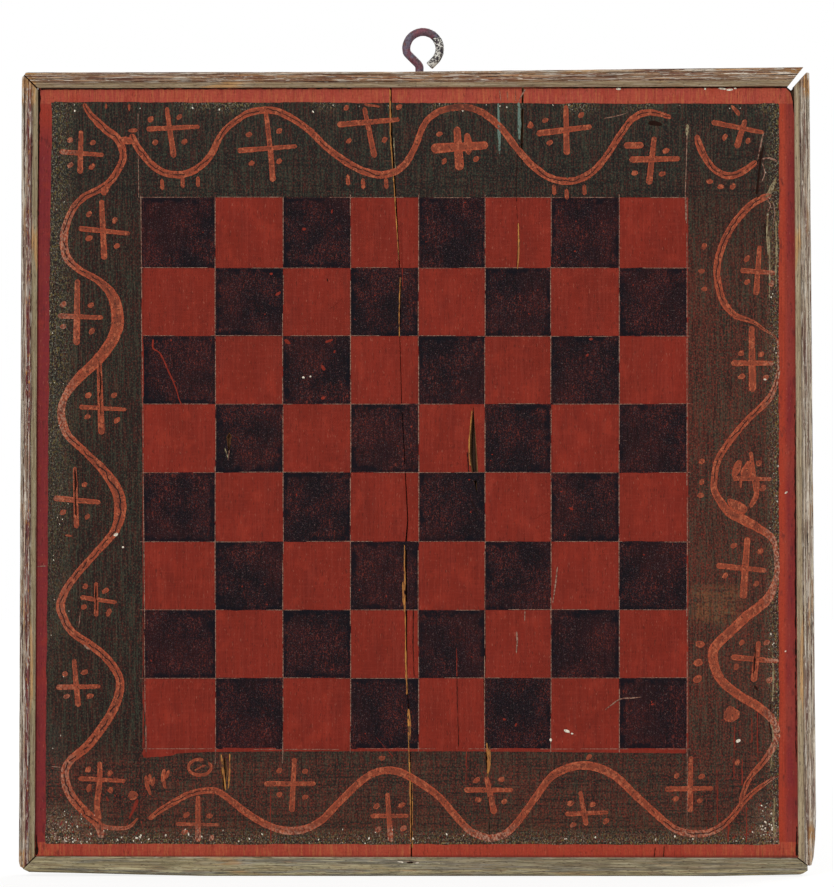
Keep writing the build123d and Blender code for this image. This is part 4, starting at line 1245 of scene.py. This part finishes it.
def coat_edge(bm, start, end, inward, base, ground, depth_in, reach_out, seed, step=2.0):
    """A strip of coat along one straight edge, wandering past it, from depth_in millimetres inside
    the edge. Its UV runs from 0 at the outer side to 1 inside."""
    run = hypot(end[0] - start[0], end[1] - start[1])
    heading = ((end[0] - start[0]) / run, (end[1] - start[1]) / run)
    wander = bpy.context.scene.board_brush.wander / MM
    across = 6
    count = max(4, round(run / step))

    def place(u, v):
        x, z = start[0] + heading[0] * run * v, start[1] + heading[1] * run * v
        stray = reach_out + wander * (drift((x, z), 9.0, seed) + 0.5 * drift((x, z), 2.8, seed + 1))
        inside = -stray + (depth_in + stray) * u
        lift = 0.02 * MM + 0.03 * MM * (1 - u) * (1 if u > 0.01 else 0)
        depth = ground - 0.005 * MM if u < 0.01 else base - (lift if u < 0.99 else 0.003 * MM)
        return spot(x + inward[0] * inside, z + inward[1] * inside, depth)

    return bent_grid(bm, across, count, place)


class CHECKERBOARD_OT_border(bpy.types.Operator):
    """Paints the dark border, with hand-cut edges that wander"""

    bl_idname = "checkerboard.border"
    bl_label = "Dark Border"

    def execute(self, context):
        sizes = context.scene.board_sizes
        dark = made_of("thin_dark_oil_paint", border_oil_paint)
        dress(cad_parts["dark_border"], dark)
        ground, base = sizes.ground_face, sizes.dark_face
        bm = bmesh.new()
        for number, inward in enumerate(INWARDS):
            start, end = BAND[number], BAND[(number + 1) % 4]
            coat_edge(bm, start, end, inward, base, ground, 3.0, 0.3, 20 + number)
        left = COLUMNS[0]
        stroke(bm, ((left + 0.1, ROWS[5], 0.6), (left + 0.5, ROWS[6], 1.3), (left + 0.6, ROWS[-1], 1.5)),
               base, 24, ridge=THIN_RIDGE, blunt=SQUARE_END)
        new_film("border_edges", bm, dark, "dark_green_oil_paint")
        return {"FINISHED"}


class CHECKERBOARD_OT_squares(bpy.types.Operator):
    """Paints the dark squares, each cut in along its edges with a loaded brush"""

    bl_idname = "checkerboard.squares"
    bl_label = "Dark Squares"

    def execute(self, context):
        sizes = context.scene.board_sizes
        brush = context.scene.board_brush
        dress(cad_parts["dark_squares"], made_of("thin_black_oil_paint", black_oil_paint, False))
        loaded = made_of("loaded_black_oil_paint", black_oil_paint, True)
        ground, base = sizes.ground_face, sizes.dark_face
        bm = bmesh.new()
        for row in range(SQUARES):
            for column in range(row % 2, SQUARES, 2):
                left, right = COLUMNS[column], COLUMNS[column + 1]
                top, bottom = ROWS[row], ROWS[row + 1]
                corners = ((left, top), (right, top), (right, bottom), (left, bottom))
                for number, inward in enumerate(INWARDS):
                    coat_edge(bm, corners[number], corners[(number + 1) % 4], inward, base, ground,
                              brush.rim_stroke / MM, -0.05, 40 + row * 32 + column * 4 + number, 2.4)
        left = COLUMNS[0]
        stroke(bm, ((left - 0.5, ROWS[0] - 0.3, 1.8), (left - 0.4, ROWS[1] + 0.3, 1.4)),
               base, 41, ridge=THIN_RIDGE, blunt=SQUARE_END)
        new_film("square_edges", bm, loaded, "black_oil_paint")
        return {"FINISHED"}


class CHECKERBOARD_OT_ornament(bpy.types.Operator):
    """Paints the vine, crosses, dots and dashes on the border, one brush stroke each"""

    bl_idname = "checkerboard.ornament"
    bl_label = "Vine and Crosses"

    def execute(self, context):
        brush = context.scene.board_brush
        base = context.scene.board_sizes.dark_face - ORNAMENT_LIFT
        orange = made_of("orange_oil_paint", ornament_oil_paint, False)
        crazed = made_of("crazed_orange_oil_paint", ornament_oil_paint, True)
        bm = bmesh.new()
        for seed, vine in enumerate((LEFT_VINE, TOP_VINE, RIGHT_ARC, RIGHT_VINE, BOTTOM_VINE)):
            stroke(bm, vine, base, 300 + seed, ragged=0.3)
        new_film("vine", bm, crazed, "red_oil_paint")
        bm = bmesh.new()
        dot = brush.dot / MM
        for seed, (upright, upright_width, bar, bar_width, dots) in enumerate(CROSSES):
            swell = [upright_width * (0.85 + 0.3 * number / max(1, len(upright) - 1))
                     for number in range(len(upright))]
            lines = (([(x, z, width) for (x, z), width in zip(upright, swell)], 0.0),
                     ([(x, z, bar_width * width) for (x, z), width in zip(bar, (1.05, 0.8))], 0.05 * MM))
            for points, lift in lines:
                stroke(bm, points, base - lift, 320 + seed, ragged=0.2)
            for number, (x, z) in enumerate(dots):
                lean = 55 * noise.noise(Vector((x * 0.31, z * 0.17, 1.0))) + 35
                longer = 1.0 + 0.5 * abs(noise.noise(Vector((x * 0.2, z * 0.23, 2.0))))
                dab(bm, x, z, dot * longer, dot * 0.82, lean, base, 0.12 * MM, seed * 5 + number)
        new_film("crosses", bm, orange, "red_oil_paint")
        bm = bmesh.new()
        for seed, (x, z) in enumerate(DASHES):
            stroke(bm, ((x - 0.2, z + 3.2, 1.9), (x + 0.1, z - 3.0, 2.3)), base, 500 + seed)
        for seed, (x, z) in enumerate(LOOSE_DOTS):
            dab(bm, x, z, 1.9, 1.4, 20 * (seed % 4), base, 0.11 * MM, 600 + seed)
        for seed, (x, z) in enumerate(BOLD_DOTS):
            dab(bm, x, z, 2.6, 2.0, 15 * seed, base, 0.11 * MM, 640 + seed)
        for seed, points in enumerate(ODD_STROKES):
            stroke(bm, points, base - 0.03 * MM, 700 + seed)
        (x, z), long, wide = EYE_RING
        ring = [(x + long * cos(radians(angle)), z + wide * sin(radians(angle)), 1.7)
                for angle in range(70, 401, 30)]
        stroke(bm, ring, base, 740)
        dab(bm, -162.5, -418.5, 3.0, 2.6, 10, base, 0.1 * MM, 741)
        (x, z), radius = RED_DISC
        dab(bm, x, z, radius, radius * 0.95, 0, base, 0.1 * MM, 742, 20)
        new_film("loose_marks", bm, orange, "red_oil_paint")
        return {"FINISHED"}


class CHECKERBOARD_OT_scribed_lines(bpy.types.Operator):
    """Scratches the ruled lines between the squares, broken where the paint has filled them"""

    bl_idname = "checkerboard.scribed_lines"
    bl_label = "Scribed Lines"

    def execute(self, context):
        width = context.scene.board_brush.scribe_width / MM
        base = context.scene.board_sizes.dark_face - SCRIBED_LIFT
        dice = random.Random(8)
        bm = bmesh.new()
        lines = [((x, ROWS[0]), (x, ROWS[-1])) for x in COLUMNS]
        lines[0] = ((COLUMNS[0] - 1.4, ROWS[0]), (COLUMNS[0] + 1.6, ROWS[-1]))
        lines += [((COLUMNS[0], z), (COLUMNS[-1], z)) for z in ROWS]
        for number, (start, end) in enumerate(lines):
            run = hypot(end[0] - start[0], end[1] - start[1])
            heading = ((end[0] - start[0]) / run, (end[1] - start[1]) / run)
            upright = number < len(COLUMNS)
            thinner = 1.0 if upright else 0.7
            place = -dice.uniform(0, 6)
            while place < run:
                scratch = dice.uniform(14, 60)
                first, last = max(place, -2.0), min(place + scratch, run + 2.0)
                stray = dice.uniform(-0.25, 0.25)
                points = []
                for share in (0.0, 0.5, 1.0):
                    at = first + (last - first) * share
                    x = start[0] + heading[0] * at + heading[1] * stray
                    z = start[1] + heading[1] * at + heading[0] * stray
                    points.append((x, z, width * dice.uniform(0.7, 1.15) * thinner))
                if last - first > 3:
                    stroke(bm, points, base, 800 + number, ridge=0.01 * MM, ragged=0.08)
                place = last + dice.uniform(0.5, 6 if upright else 26)
        # Pale scratches, with one painted highlight on the vine's crest.
        for seed, points in enumerate(PALE_SCRATCHES_AND_HIGHLIGHTS):
            stroke(bm, points, base, 860 + seed, ridge=0.01 * MM, ragged=0.12)
        new_film("scribed_lines", bm, made_of("scratched_paint", pale_line_paint), "red_oil_paint")
        return {"FINISHED"}


class CHECKERBOARD_OT_wear(bpy.types.Operator):
    """Adds the splits, splinters, chips and rubbed places"""

    bl_idname = "checkerboard.wear"
    bl_label = "Splits and Wear"

    def execute(self, context):
        sizes = context.scene.board_sizes
        base = sizes.dark_face - WEAR_LIFT
        split = made_of("split_pine", split_wood)
        bared = made_of("bared_wood", bared_ground)
        # This dark serves the real cracks and the painted shade lines at the rims and mitres.
        dirt = made_of("crack_dirt", dark_crack_and_shade)
        red = made_of("brushed_red_oil_paint", red_oil_paint)
        groups = (("split_fibres", SPLIT_STROKES, split, "bare_pine", 0.05),
                  ("rubbed_streaks", BARE_STROKES, bared, "bare_pine", 0.03),
                  ("hairline_cracks", CRACKS, dirt, "bare_pine", 0.0),
                  ("red_scratches", RED_SCRATCHES, red, "red_oil_paint", 0.02))
        for layer, (name, strokes, material, slot, ridge) in enumerate(groups):
            bm = bmesh.new()
            for number, points in enumerate(strokes):
                stroke(bm, points, base - 0.01 * MM * layer, 900 + 20 * layer + number,
                       ridge=ridge * MM, ragged=0.3)
            new_film(name, bm, material, slot)
        bm = bmesh.new()
        # Dark fill in the mitre gaps, partly painted shade.
        for seed, points in enumerate(MITRE_SHADE_AND_DIRT):
            stroke(bm, points, sizes.rim_front + 1.6 * MM, 980 + seed, ridge=0.0)
        # Painted shade along the mouldings' inner edges.
        for seed, points in enumerate(RIM_SHADE_LINES):
            stroke(bm, points, base, 990 + seed, ridge=0.0, ragged=0.5)
        for seed, points in enumerate(CRAZING):
            stroke(bm, points, base - CRAZING_LIFT, 970 + seed, ridge=0.0, ragged=0.5)
        dab(bm, -7, -456, 2.2, 1.0, 10, sizes.rim_front + 0.03 * MM, 0.02 * MM, 995, 9)
        # This film holds the painted shade at the rims and in the mitres, the crazing, and a dirt mark.
        new_film("rim_shade_and_dirt", bm, dirt, "bare_pine")
        bm = bmesh.new()
        for seed, (x, z, long, wide, tilt) in enumerate(CHIPS):
            dab(bm, x, z, long, wide, tilt, base, 0.02 * MM, 1000 + seed, 9)
        dice = random.Random(5)
        for number in range(SQUARE_CHIPS):
            row = dice.randrange(SQUARES)
            column = dice.randrange(row % 2, SQUARES, 2)
            x = dice.uniform(COLUMNS[column] + 2, COLUMNS[column + 1] - 2)
            z = dice.uniform(ROWS[row + 1] + 2, ROWS[row] - 2)
            size = dice.uniform(0.2, 0.42)
            dab(bm, x, z, size * dice.uniform(1, 2), size, dice.uniform(0, 180), base,
                0.015 * MM, number, 7)
        for number in range(CORNER_CHIPS):
            x = dice.choice((dice.triangular(-208, -150, -202), dice.triangular(150, 198, 192)))
            size = dice.uniform(0.2, 0.42)
            dab(bm, x, dice.triangular(-445, -412, -440), size * dice.uniform(1, 3), size,
                dice.uniform(70, 110), base, 0.015 * MM, SQUARE_CHIPS + number, 7)
        new_film("red_chips", bm, red, "red_oil_paint")
        bm = bmesh.new()
        for x, z, long, tilt in ((-13, -455.5, 2.6, -15), (-3.4, -456.2, 1.8, 35)):
            dab(bm, x, z, long, 0.6, tilt, sizes.rim_front + 0.03 * MM, 0.02 * MM, x, 9)
        for seed, (x, z, long, wide, tilt) in enumerate(WHITE_CHIPS):
            dab(bm, x, z, long, wide, tilt, base - 0.06 * MM, 0.03 * MM, 1100 + seed, 9)
        for number in range(SIDE_CHIPS):
            side = dice.choice(CHIPPED_SIDES)
            x = {"left": dice.triangular(-209, -194, -208), "right": dice.triangular(190, 199, 198.6),
                 "corner": dice.triangular(-208, -150, -200),
                 "right corner": dice.triangular(180, 198, 194)}.get(side, dice.uniform(-200, 195))
            z = {"bottom": dice.triangular(-445.5, -436, -445), "top": dice.triangular(-36, -31.5, -32),
                 "corner": dice.triangular(-445, -425, -444),
                 "right corner": dice.triangular(-444, -420, -440)}.get(side, dice.uniform(-440, -40))
            size = dice.uniform(0.2, 0.3 if side == "left" else 0.5)
            dab(bm, x, z, size * dice.uniform(1, 2), size, dice.uniform(50, 130), base + 0.03 * MM,
                0.03 * MM, 2000 + number, 6)
        new_film("pale_chips", bm, made_of("chalk_chip", white_chip), "dark_green_oil_paint")
        return {"FINISHED"}


class CHECKERBOARD_OT_mouldings(bpy.types.Operator):
    """Runs the weathered mouldings round the panel, with their mitres and brad holes"""

    bl_idname = "checkerboard.mouldings"
    bl_label = "Mouldings"

    def execute(self, context):
        olive = made_of("weathered_olive_paint", moulding_paint, True)
        grey = made_of("weathered_grey_paint", moulding_paint, False)
        ends = made_of("softwood_end_grain", end_grain)
        for name, run in RUNS.items():
            bm = moulding(name)
            piece = new_piece(name + "_strip", bm, [grey if name == "bottom" else olive, ends],
                              "worn_olive_paint")
            piece.data.set_sharp_from_angle(angle=radians(38))
            cutter = bmesh.new()
            for along in BRAD_PLACES[name]:
                reach = along_line(run["widths"], along)
                away = along_line(run["edge"], along) + run["outward"] * (reach + 0.9)
                long, wide, tall = (part * MM for part in BRAD_POCKET)
                made = bmesh.ops.create_cube(cutter, size=1.0)["verts"]
                shape = (tall, wide, long) if run["upright"] else (long, wide, tall)
                bmesh.ops.scale(cutter, verts=made, vec=shape)
                x, z = (away, along) if run["upright"] else (along, away)
                bmesh.ops.translate(cutter, verts=made, vec=spot(x, z, BRAD_DEPTH * MM))
            if name == "top":
                hook = context.scene.board_hook
                made = bmesh.ops.create_cone(cutter, segments=32, radius1=hook.wire_radius * 1.09,
                                             radius2=hook.wire_radius * 1.09, depth=60 * MM,
                                             cap_ends=True)["verts"]
                bmesh.ops.translate(cutter, verts=made, vec=(hook.shank_x, 0, -20 * MM))
            carve(piece, cutter)
            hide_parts(name + "_moulding")
        return {"FINISHED"}


def arc(centre_x, centre_z, radius, start, end, step=7):
    """Points of an arc from start to end, in degrees, its ends included."""
    count = max(2, round(abs(end - start) / step))
    angles = [radians(start + (end - start) * number / count) for number in range(count + 1)]
    return [(centre_x + radius * cos(angle), centre_z + radius * sin(angle)) for angle in angles]


class CHECKERBOARD_OT_hook(bpy.types.Operator):
    """Bends the screw hook from one rusted wire with flakes of white paint on its open side"""

    bl_idname = "checkerboard.hook"
    bl_label = "Screw Hook"

    def execute(self, context):
        hook = context.scene.board_hook
        wire, eye, shank = hook.wire_radius / MM, hook.eye_radius / MM, hook.shank_x / MM
        pitting, film = hook.pitting / MM, hook.paint_film / MM
        shoulder = 4.9
        neck_bend = 3.5
        tip, core = -41.0, 1.8
        shoulder_start = (-eye + shoulder * (1 - cos(radians(45))), -shoulder * sin(radians(45)))
        corner_z = shoulder_start[1] - (shank - shoulder_start[0])
        bend_z = corner_z - neck_bend * (sqrt(2) - 1)
        line = [(shank, tip, 0.3), (shank, tip + 1, 0.9), (shank, tip + 5, core - 0.05)]
        line += [(shank, tip + 5 + step * 1.25, core) for step in range(1, 12)]
        line += [(shank, -21.05, core), (shank, -21.0, wire - 0.15), (shank, -20.8, wire)]
        line += [(shank, z, wire) for z in (-19.6, -18.4, -17.2, -16.0, -14.8, -13.6, -12.4)]
        line += [(x, z, wire) for x, z in arc(shank - neck_bend, bend_z, neck_bend, 0, 45, 11)]
        line += [(x, z, wire) for x, z in arc(-eye + shoulder, 0, shoulder, 225, 180, 11)]
        line += [(x, z, wire) for x, z in arc(0, 0, eye, 180, -45, 4.5)[1:]]
        end_x, end_z = line[-1][0], line[-1][1]
        line += [(end_x - along * sin(radians(45)), end_z - along * sin(radians(45)), width)
                 for along, width in ((0.9, wire), (1.8, wire), (2.7, wire), (3.6, wire),
                                      (4.2, wire - 0.08), (4.4, wire - 0.45))]
        around = 24

        def paint_left(x, z):
            """How whole the white paint is here, from 0 to 1."""
            angle = degrees(atan2(z, x))
            if z < -11.5 or not -75 < angle < 62 or x < 0.5:
                return 0.0
            upper = min(1.0, (62 - angle) / 30)
            return upper * (0.62 + 0.5 * noise.noise(Vector((x * 0.45, z * 0.45, 3.0))))

        def place(u, v):
            number = round(v * (len(line) - 1))
            x, z, radius = line[number]
            before, after = line[max(number - 1, 0)], line[min(number + 1, len(line) - 1)]
            heading = Vector((after[0] - before[0], after[1] - before[1])).normalized()
            turn = 2 * pi * u
            spread = Vector((heading.y * cos(turn), sin(turn), -heading.x * cos(turn)))
            point = Vector((x, 0, z)) + spread * radius
            rough = pitting * (noise.noise(point * 0.9) + 0.6 * noise.noise(point * 2.1))
            kept = paint_left(x, z) if z > -12 else 0.0
            flaked = film if kept + 0.35 * noise.noise(point * 0.8) > 0.5 else 0.0
            point += spread * (rough * (1 if z > -21 else 0.3) + flaked)
            return point * MM

        bm = bmesh.new()
        kept_layer = bm.verts.layers.float.new("paint_left")
        bent_grid(bm, around, len(line) - 1, place)
        bmesh.ops.remove_doubles(bm, verts=bm.verts, dist=0.000002)
        open_edges = [edge for edge in bm.edges if edge.is_boundary]
        bmesh.ops.holes_fill(bm, edges=open_edges, sides=0)
        for vert in bm.verts:
            x, z = vert.co.x / MM, vert.co.z / MM
            lower = z < -10 and x < 1
            vert[kept_layer] = 0.0 if lower else max(0.0, paint_left(x, z)
                                                     + 0.35 * noise.noise(vert.co / MM * 0.8))
        iron = made_of("rust_scaled_iron", rusted_iron, True)
        piece = new_piece("screw_eye", bm, [iron], "rusted_iron", body="hook")
        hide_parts("screw_hook")
        return {"FINISHED"}


# Camera and studio. The photograph is square on, from far off with a long lens.
IMAGE_SIZE = (834, 887)
MM_PER_PIXEL = 0.56
EYE_PIXEL = (423, 48)
LENS = 300.0
SENSOR = 36.0
# Strength of the white world on the object, and of the floor's own glow and its share to the camera.
FILL_STRENGTH = 0.45
GLOW_STRENGTH = 1.12
GLOW_SHARE = 0.75


class CHECKERBOARD_OT_stage(bpy.types.Operator):
    """Sets the camera, the soft studio light and the pale floor"""

    bl_idname = "checkerboard.stage"
    bl_label = "Camera, Light and Floor"

    def execute(self, context):
        scene = context.scene
        face = scene.board_sizes.face
        camera = bpy.data.objects.new("camera", bpy.data.cameras.new("camera"))
        scene.collection.objects.link(camera)
        camera.data.lens = LENS
        camera.data.sensor_width = SENSOR
        height = IMAGE_SIZE[1] * MM_PER_PIXEL * MM
        distance = height * LENS / SENSOR
        middle_x = (IMAGE_SIZE[0] / 2 - EYE_PIXEL[0]) * MM_PER_PIXEL
        middle_z = (EYE_PIXEL[1] - IMAGE_SIZE[1] / 2) * MM_PER_PIXEL
        camera.location = spot(middle_x, middle_z, face - distance)
        camera.rotation_euler = (radians(90), 0, 0)
        camera.data.clip_start = 0.1
        camera.data.clip_end = 60
        scene.camera = camera
        scene.view_settings.view_transform = "Standard"

        for name, energy, spread, towards in (
                ("key", 1.85, 9, (0.3, 1.0, -0.42)), ("side", 0.45, 40, (-0.9, 0.8, -0.5)),
                ("rear", 1.7, 30, (-0.5, -1.0, -0.6))):
            lamp = bpy.data.lights.new(name, "SUN")
            lamp.energy = energy
            lamp.angle = radians(spread)
            light = bpy.data.objects.new(name, lamp)
            light.rotation_mode = "QUATERNION"
            light.rotation_quaternion = Vector(towards).to_track_quat("-Z", "Y")
            scene.collection.objects.link(light)

        world = bpy.data.worlds.new("studio")
        scene.world = world
        nodes = Nodes(world)
        background = nodes.tree.nodes["Background"].inputs
        background["Color"].default_value = (1, 1, 1, 1)
        strength = nodes.seen().ramp(0, 1, FILL_STRENGTH, 1)
        nodes.tree.links.new(strength.socket, background["Strength"])

        bm = bmesh.new()
        bmesh.ops.create_circle(bm, cap_ends=True, segments=96, radius=6.0)
        bmesh.ops.translate(bm, verts=bm.verts, vec=(0, 0, cad_low.z))
        floor = new_object("floor", bm)
        floor.data.materials.append(made_of("matte_paper", floor_paper))
        return {"FINISHED"}


def floor_paper(name):
    """Matte white studio paper, which the camera sees as white apart from the soft shadow."""
    look = Look(name, 0.95, 0.1)
    look.shader["Base Color"].default_value = tint("#E9E8E4")
    glow = look.add("Emission", {"Color": (1, 1, 1, 1), "Strength": GLOW_STRENGTH})
    paper = Value(look, look.tree.nodes["Principled BSDF"].outputs[0])
    mixed = look.add("MixShader", {0: look.seen() * GLOW_SHARE, 1: paper, 2: glow})
    look.tree.links.new(mixed.socket, look.tree.nodes["Material Output"].inputs["Surface"])
    return look.material


OPERATORS = (
    CHECKERBOARD_OT_boards, CHECKERBOARD_OT_ground, CHECKERBOARD_OT_border, CHECKERBOARD_OT_squares,
    CHECKERBOARD_OT_ornament, CHECKERBOARD_OT_scribed_lines, CHECKERBOARD_OT_wear,
    CHECKERBOARD_OT_mouldings, CHECKERBOARD_OT_hook, CHECKERBOARD_OT_stage)
GROUPS = {"board_sizes": BoardSizes, "board_brush": BrushSizes, "board_hook": HookSizes,
          "board_colours": FinishColours}


class CHECKERBOARD_PT_panel(bpy.types.Panel):
    """Lists the checkerboard's sizes, colours and pieces"""

    bl_idname = "CHECKERBOARD_PT_panel"
    bl_label = "Painted Checkerboard"
    bl_space_type = "VIEW_3D"
    bl_region_type = "UI"
    bl_category = "Checkerboard"

    def draw(self, context):
        for operator in OPERATORS:
            self.layout.operator(operator.bl_idname)
        for name, group in GROUPS.items():
            box = self.layout.box()
            settings = getattr(context.scene, name)
            for setting in group.__annotations__:
                box.prop(settings, setting)


def register():
    for group in GROUPS.values():
        bpy.utils.register_class(group)
    for operator in OPERATORS:
        bpy.utils.register_class(operator)
    bpy.utils.register_class(CHECKERBOARD_PT_panel)
    for name, group in GROUPS.items():
        setattr(bpy.types.Scene, name, PointerProperty(type=group))


def unregister():
    for name in GROUPS:
        delattr(bpy.types.Scene, name)
    bpy.utils.unregister_class(CHECKERBOARD_PT_panel)
    for operator in reversed(OPERATORS):
        bpy.utils.unregister_class(operator)
    for group in reversed(list(GROUPS.values())):
        bpy.utils.unregister_class(group)


def main():
    register()
    for operator in OPERATORS:
        group, name = operator.bl_idname.split(".")
        getattr(getattr(bpy.ops, group), name)()


if __name__ == "__main__":
    main()
